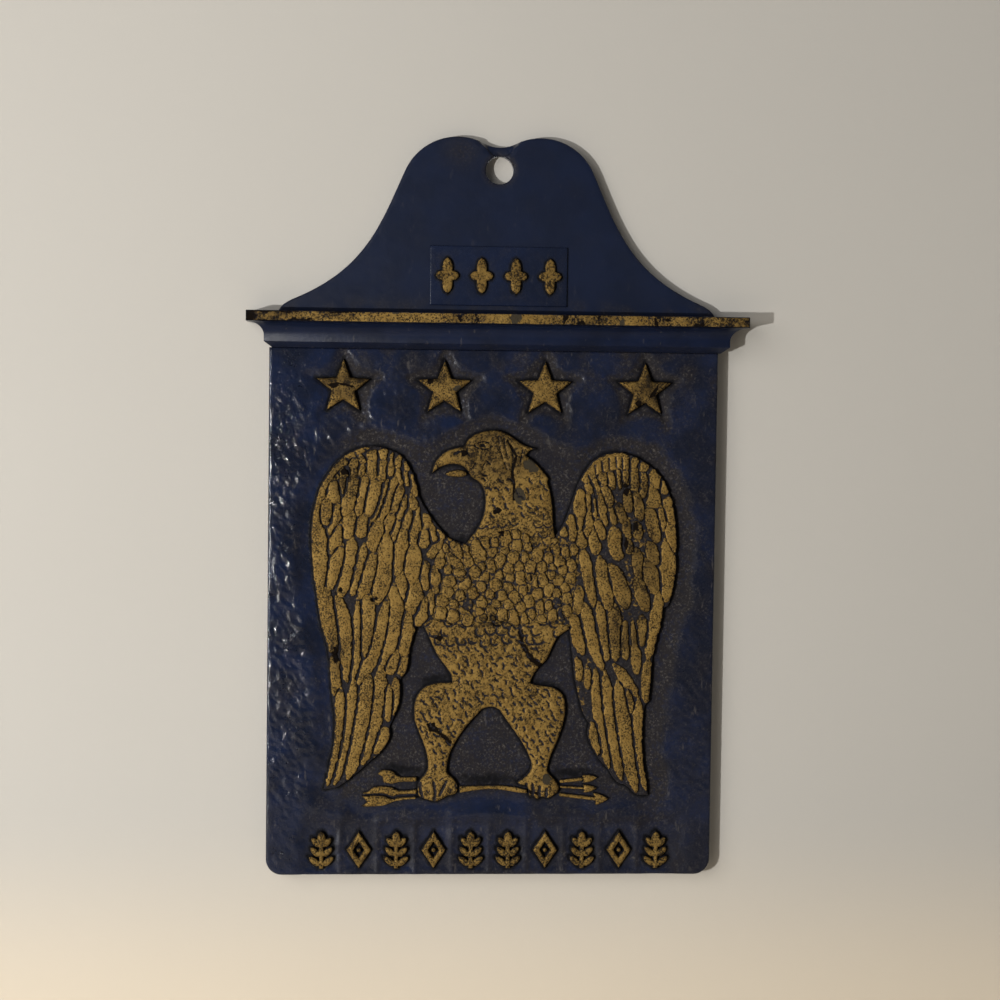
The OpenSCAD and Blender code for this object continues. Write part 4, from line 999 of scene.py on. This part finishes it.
# Least and most width of the grooves, and how far the outlines may grow
GROOVE = (0.25, 0.6)
SCALE_GROOVE = (0.1, 0.5)
SWELL = {"left": 1.05, "right": 1.0, "breast": 1.2}
GROWTH_ROUNDS = 5
SEARCH = 3.0
KEEP_IN = 0.1


def neighbours(outlines):
    """Numbers of the outlines that lie near each one."""
    lows = np.array([loop.min(0) for loop in outlines]) - SEARCH
    highs = np.array([loop.max(0) for loop in outlines])
    near = [np.all((lows < high) & (highs > low), 1) for low, high in zip(lows, highs)]
    return [[j for j in np.flatnonzero(row) if j != i] for i, row in enumerate(near)]


def lengthwise(loop):
    """Direction of a feather, towards its root."""
    _, axes = np.linalg.eigh(np.cov((loop - loop.mean(0)).T))
    return axes[:, 1] * np.sign(axes[1, 1])


def tapered(loop):
    """1 at a feather's sides, less at its root and tip."""
    along = np.abs((loop - loop.mean(0)) @ lengthwise(loop))
    return 1 - 0.6 * (along / along.max()) ** 4


def swollen(outlines, fixed, limit, groove):
    """Outlines grown towards their neighbours until a groove of even width is left between them.
    fixed outlines grow only where they are away from the edge of the figure."""
    near = neighbours(outlines)
    now = list(outlines)
    total = [np.zeros(len(loop)) for loop in outlines]
    for _ in range(GROWTH_ROUNDS):
        after = []
        for i, loop in enumerate(now):
            others = [now[j] for j in near[i]]
            room = within(loop, FIGURE_EDGE) - KEEP_IN
            held = fixed[i] & (distance(outlines[i], FIGURE_EDGE) < 0.25)
            move = np.clip((distance(loop, others) - groove[i]) / 2, -0.15, 0.25)
            move = np.minimum(move, np.maximum(room, 0 if fixed[i] else -0.3))
            move = np.minimum(np.where(held, 0, move), limit[i] - total[i])
            move = 0.5 * move + 0.25 * (np.roll(move, 1) + np.roll(move, -1))
            move = np.where(held, 0, move)
            total[i] = total[i] + move
            loop = loop - move[:, None] * inward(loop)
            if not fixed[i]:
                loop = 0.9 * loop + 0.05 * (np.roll(loop, 1, 0) + np.roll(loop, -1, 0))
            after.append(loop)
        now = after
    return now


ROWS = {"covert_feathers": "coverts", "secondary_feathers": "secondaries", "primary_feathers": "primaries"}
FEATHERS = [(f"{side}_{row}", f"{side}_{node}") for side in ("left", "right") for row, node in ROWS.items()]
FEATHERS.append(("breast_scale_feathers", "breast_feathers"))
FLESH = ["eagle_head", "eagle_belly"]


def grow_feathers():
    """Outline of each feather, and of the head and belly where they meet the feathers, by node."""
    outlines, owner, fixed, limit, groove = [], [], [], [], []
    for node in [node for _, node in FEATHERS] + FLESH:
        flesh = node in FLESH
        size = SWELL.get(node.split("_")[0], 0.9)
        width = SCALE_GROOVE if node == "breast_feathers" else GROOVE
        for loop, *_ in outlines_of(node, *((0.32, 50) if flesh else (0.3, 62))):
            outlines.append(loop)
            owner.append(node)
            fixed.append(flesh)
            limit.append(size if flesh else size * tapered(loop))
            groove.append(RNG.uniform(*width))
    grown = swollen(outlines, fixed, limit, groove)
    return {node: [(first, last) for name, first, last in zip(owner, outlines, grown) if name == node]
            for node in owner}


GROWN = grow_feathers()


def ragged(loop, *waves):
    """The loop with an uneven hand-cut edge; each wave is (depth, size, seed)."""
    for depth, size, seed in waves:
        loop = loop + depth * wander(loop, size, seed)[:, None] * inward(loop)
    return loop


def add_grown(piece, name, first, last, **look):
    """Adds a solid over the grown outline, drawn back towards the first one until it doesn't cross itself."""
    for share in (1, 0.8, 0.6, 0.4, 0.2, 0):
        if relief_solid(piece, [a + share * (b - a) for a, b in zip(first, last)], **look):
            return
    print(name, "left out a feather")


def tucked(loop, reach, up, lower, darker, bare=0.0):
    """The outline with its root drawn out to lie under the row above, and the shape it takes there."""
    middle = loop.mean(0)
    along = (loop - middle) @ up
    end = along.max()
    longer = loop + reach * (np.clip(along / end, 0, 1) ** 1.5)[:, None] * up
    if within(longer, FIGURE_EDGE).min() < 0.05:
        longer = loop

    def shape(p, h, gilt):
        at = (p - middle) @ up
        dark = ramp(end - 0.1, end + 0.2, at) * ramp(end + 0.9, end + 0.5, at)
        return h - lower * ramp(end - 0.9, end + 0.2, at) - 0.2 * bare, gilt - darker * dark - 0.55 * bare
    return longer, shape


RIM_LINES = [
    [(28.2, 121), (29, 119.2)], [(30.2, 123.8), (30.6, 121)], [(32.2, 125.2), (32.6, 122)],
    [(34.4, 126), (34.6, 122.6)], [(36.4, 126.4), (36.7, 123.4)], [(38.4, 126.3), (38.5, 123)],
    [(-38.4, 128), (-37.9, 127.2)], [(-41.4, 127), (-40.9, 125.8)], [(-44, 125.2), (-43.2, 124.3)]
]


# How far the roots are drawn out
ROOT = 1.8
SCALE_ROOT = 1.0


def make_feathers():
    for name, node in FEATHERS[:-1]:
        piece = Piece()
        cuts = [(RIM_LINES, 0.5, 0.4)] if "coverts" in node else []
        for i, (first, last) in enumerate(GROWN[node]):
            last, shape = tucked(last, ROOT, lengthwise(first), 0.3, 0.35)
            last = ragged(last, (0.3, 1.3, 95), (0.16, 0.6, 98))
            add_grown(piece, name, [first], [last], base=SLAB, top=TOP, shoulder=0.34, crown=0.1,
                      cuts=cuts, seed=91 + i % 7, shape=shape)
        piece.make(name, GOLD_PAINT, node)


def make_scales():
    """Breast feathers, some of them bare of gold."""
    name, node = FEATHERS[-1]
    rng = np.random.default_rng(7)
    piece = Piece()
    for i, (first, last) in enumerate(GROWN[node]):
        middle = first.mean(0)
        bare = min(np.hypot(*(middle - on_panel(p))) for p in PALE_SCALES) < 1.2
        last, shape = tucked(last, SCALE_ROOT, np.array([0, 1.0]), 0.35, 0.6, bare)
        last = ragged(last, (0.4, 1.2, 97), (0.2, 0.6, 99))
        add_grown(piece, name, [first], [last], base=SLAB, top=TOP + rng.uniform(-0.1, 0.05),
                  step=0.36, shoulder=0.3, crown=0.1, seed=131 + i % 9, shape=shape)
    piece.make(name, GOLD_PAINT, node)


make_feathers()
make_scales()

# Head, belly and legs

HEAD_LINES = [
    [(-6, 129.1), (-4.8, 130.2), (-3.2, 130.6), (-1.6, 130.1), (-0.5, 129.2)],
    [(-6, 129.1), (-4.6, 128.5), (-3, 128.3), (-1.6, 128.6), (-0.5, 129.2)],
    [(-7.6, 121.4), (-6.4, 122.6), (-5.4, 124.4)], [(-7.9, 128.9), (-8.2, 127.6), (-7.5, 126.2)],
    [(-3.4, 122), (-3.2, 123.6), (-2.2, 124.7), (-1.2, 123.8)],
    [(1, 132), (1.6, 128.6), (2.6, 125.4), (3.8, 122.4)], [(5, 130), (5.6, 127), (5.4, 121)],
    [(2.8, 131.6), (3.4, 128), (4.2, 125.4)], [(8.6, 128.6), (7.8, 124.6)]
]
HEAD_DOTS = [[(-3.9, 129.4), (-3.1, 129.4)], [(-11.8, 126.8), (-10.6, 127.4)]]
TOE_LINES = [
    [(-21, 28), (-20.9, 25.6), (-20.2, 23.4)], [(-17, 28.2), (-16.5, 25.5), (-16.7, 22.9)],
    [(-13.3, 28.4), (-14.1, 26.7), (-15.1, 24.6)], [(10.9, 28), (10.8, 25.2)],
    [(12.8, 27.6), (12.9, 25.2), (12.6, 23.4)], [(14.9, 27), (14.8, 25), (15.1, 23.2)],
    [(17, 26.2), (16.9, 24)]
]
KNUCKLES = [
    [(-22.8, 26), (-21.8, 26.6)], [(-19.4, 29.6), (-18, 29.9), (-17.2, 29.4)], [(-12.6, 26.6), (-11.4, 25.4)],
    [(-19.2, 25.4), (-18.2, 25.8)], [(-15.2, 28.8), (-14.2, 29.6)], [(-10.6, 27.6), (-9.8, 26.2)],
    [(13, 29.6), (14, 30.2)], [(13.5, 25.8), (14.2, 26)], [(15.6, 25.4), (16.2, 25.6)],
    [(9.2, 27.4), (8.4, 28)]
]


BODY_NAMES = {"eagle_head": "head", "eagle_belly": "belly", "left_leg": "left_leg_relief",
              "right_leg": "right_leg_relief"}


def make_body():
    for node, name in BODY_NAMES.items():
        piece = Piece()
        for loops in outlines_of(node, 0.32, 50):
            first = loops
            if node in FLESH:
                first, loops = ([loop] for loop in GROWN[node][0])
            if node == "eagle_head":
                marks = comma_marks(loops, 3.0, -50, 5, 107, 121)
                cuts = [(HEAD_LINES, 0.5, 0.28), (HEAD_DOTS, 1.0, 0.45), (marks, 0.55, 0.4),
                        (crescents(loops, [(99.5, 107, -4, 18, -6)], 9), 0.45, 0.36)]
            elif node == "eagle_belly":
                cuts = [(comma_marks(loops, 2.7, -50, 7, 33, 71), 0.52, 0.42),
                        (crescents(loops, [(70, 78, -20, 23, -34)], 11), 0.6, 0.5)]
            else:
                cuts = [(comma_marks(loops, 2.6, -52, 7, 33, 200), 0.54, 0.42)]
            if "leg" in node:
                cuts += [(TOE_LINES, 0.75, 0.6), (KNUCKLES, 0.5, 0.3)]
            add_grown(piece, name, first, loops, base=GROUND, top=TOP, shoulder=0.6, crown=0.25,
                      edge_loops=FIGURE_EDGE, cuts=cuts, seed=101, tarnish=0.1)
        piece.make(name, GOLD_PAINT, node)


make_body()


def make_small(name, node, base, shoulder=0.5, sharp=40, tarnish=0.0, bolder=0.0):
    """Small relief of its own outline, made bolder by that much."""
    piece = Piece()
    for loops in outlines_of(node, 0.3, sharp):
        bold = [loop - bolder * inward(loop) for loop in loops]
        add_grown(piece, name, loops, bold, base=base, top=levels(node)[-1], step=0.36, shoulder=shoulder,
                  crown=0.05, seed=111, tarnish=tarnish)
    piece.make(name, GOLD_PAINT, node)


make_small("lower_beak_relief", "lower_beak", GROUND)
make_small("arrow_bundle", "arrows", GROUND, sharp=35, bolder=0.28)
make_small("gilded_stars", "stars", GROUND, shoulder=0.8, sharp=20, tarnish=0.4)
make_small("sprig_ornaments", "frieze_sprigs", GROUND, shoulder=0.55, tarnish=0.45)
make_small("lozenge_ornaments", "frieze_lozenges", GROUND, shoulder=0.55, sharp=25, tarnish=0.45)
make_small("blossom_ornaments", "tablet_blossoms", levels("crest_tablet")[-1], tarnish=0.4)

# Floor, backdrop and light

BACKDROP = srgb(168, 165, 159)
# Paler, warmer colour low down: painted light, a brighter band along the bottom
BACKDROP_PAINTED_GLOW = srgb(192, 181, 163)


def pale_paint(name, see_through_back):
    """Plain pale surface, paler and warmer low down as painted light; seen from behind it can be clear."""
    paint = Paint(name)
    height = paint.node("ShaderNodeSeparateXYZ", {0: paint.place}).outputs[2]
    colour = paint.mix(paint.step(height, -0.19, -0.26), BACKDROP, BACKDROP_PAINTED_GLOW)
    colour = paint.mix(paint.spots(6, 2, 0.5, 2, 0.3, 0.7, 0, 0.03), colour, DUST_PALE)
    paint.dress({"Base Color": colour, "Roughness": 0.7,
                 "Normal": paint.bump(paint.noise(900, 3, seed=5), 0.02)})
    if see_through_back:
        back = paint.larger(paint.node("ShaderNodeNewGeometry").outputs["Backfacing"],
                            paint.node("ShaderNodeLightPath").outputs["Is Shadow Ray"])
        clear = paint.node("ShaderNodeBsdfTransparent").outputs[0]
        mix = paint.node("ShaderNodeMixShader")
        for socket, value in zip(mix.inputs, (back, paint.shader.outputs[0], clear)):
            paint.tree.links.new(value, socket)
        paint.tree.links.new(mix.outputs[0], paint.tree.nodes["Material Output"].inputs["Surface"])
    return paint.material


def make_sheet(name, near, far, material):
    """Flat rectangle from its near left corner to its far right one."""
    (x0, y0, z0), (x1, y1, z1) = near, far
    mesh = bpy.data.meshes.new(name)
    mesh.from_pydata([(x0, y0, z0), (x1, y0, z0), (x1, y1, z1), (x0, y1, z1)], [], [(0, 1, 2, 3)])
    mesh.materials.append(material)
    placed(name, mesh)


WALL_Y = 0.0006
FLOOR_Z = -0.34
HALF = 1.6
make_sheet("backdrop", (-HALF, WALL_Y, FLOOR_Z), (HALF, WALL_Y, 1.4), pale_paint("backdrop_plain", True))
make_sheet("floor", (-HALF, -2.2, FLOOR_Z), (HALF, 1.5, FLOOR_Z), pale_paint("floor_plain", False))

MIDDLE = Vector((0, 0, -0.1))


def make_lamp(name, place, size, power, colour=(1, 1, 1), mirrored=True):
    """Round lamp aimed at the middle of the plaque."""
    data = bpy.data.lights.new(name, "AREA")
    data.shape = "DISK"
    data.size = size
    data.energy = power
    data.color = colour
    lamp = placed(name, data)
    lamp.location = place
    lamp.visible_glossy = mirrored
    lamp.rotation_euler = (MIDDLE - Vector(place)).to_track_quat("-Z", "Y").to_euler()


make_lamp("key_lamp", (-0.62, -0.42, -0.45), 0.14, 8.5, (1.0, 0.98, 0.95), False)
make_lamp("glint_lamp", (-0.45, -0.72, -0.16), 0.02, 5.9, (1.0, 0.99, 0.97))
make_lamp("fill_lamp", (-0.85, -1.0, 0.3), 1.0, 10.4, (1.0, 0.97, 0.94), False)
make_lamp("back_lamp", (0, 1.1, 0.15), 0.9, 16.0)

world = bpy.data.worlds.new("studio")
bpy.context.scene.world = world
world.use_nodes = True
sky = world.node_tree.nodes["Background"]
sky.inputs["Color"].default_value = (0.9, 0.92, 0.95, 1)
sky.inputs["Strength"].default_value = 0.14
bpy.context.scene.view_settings.view_transform = "Standard"
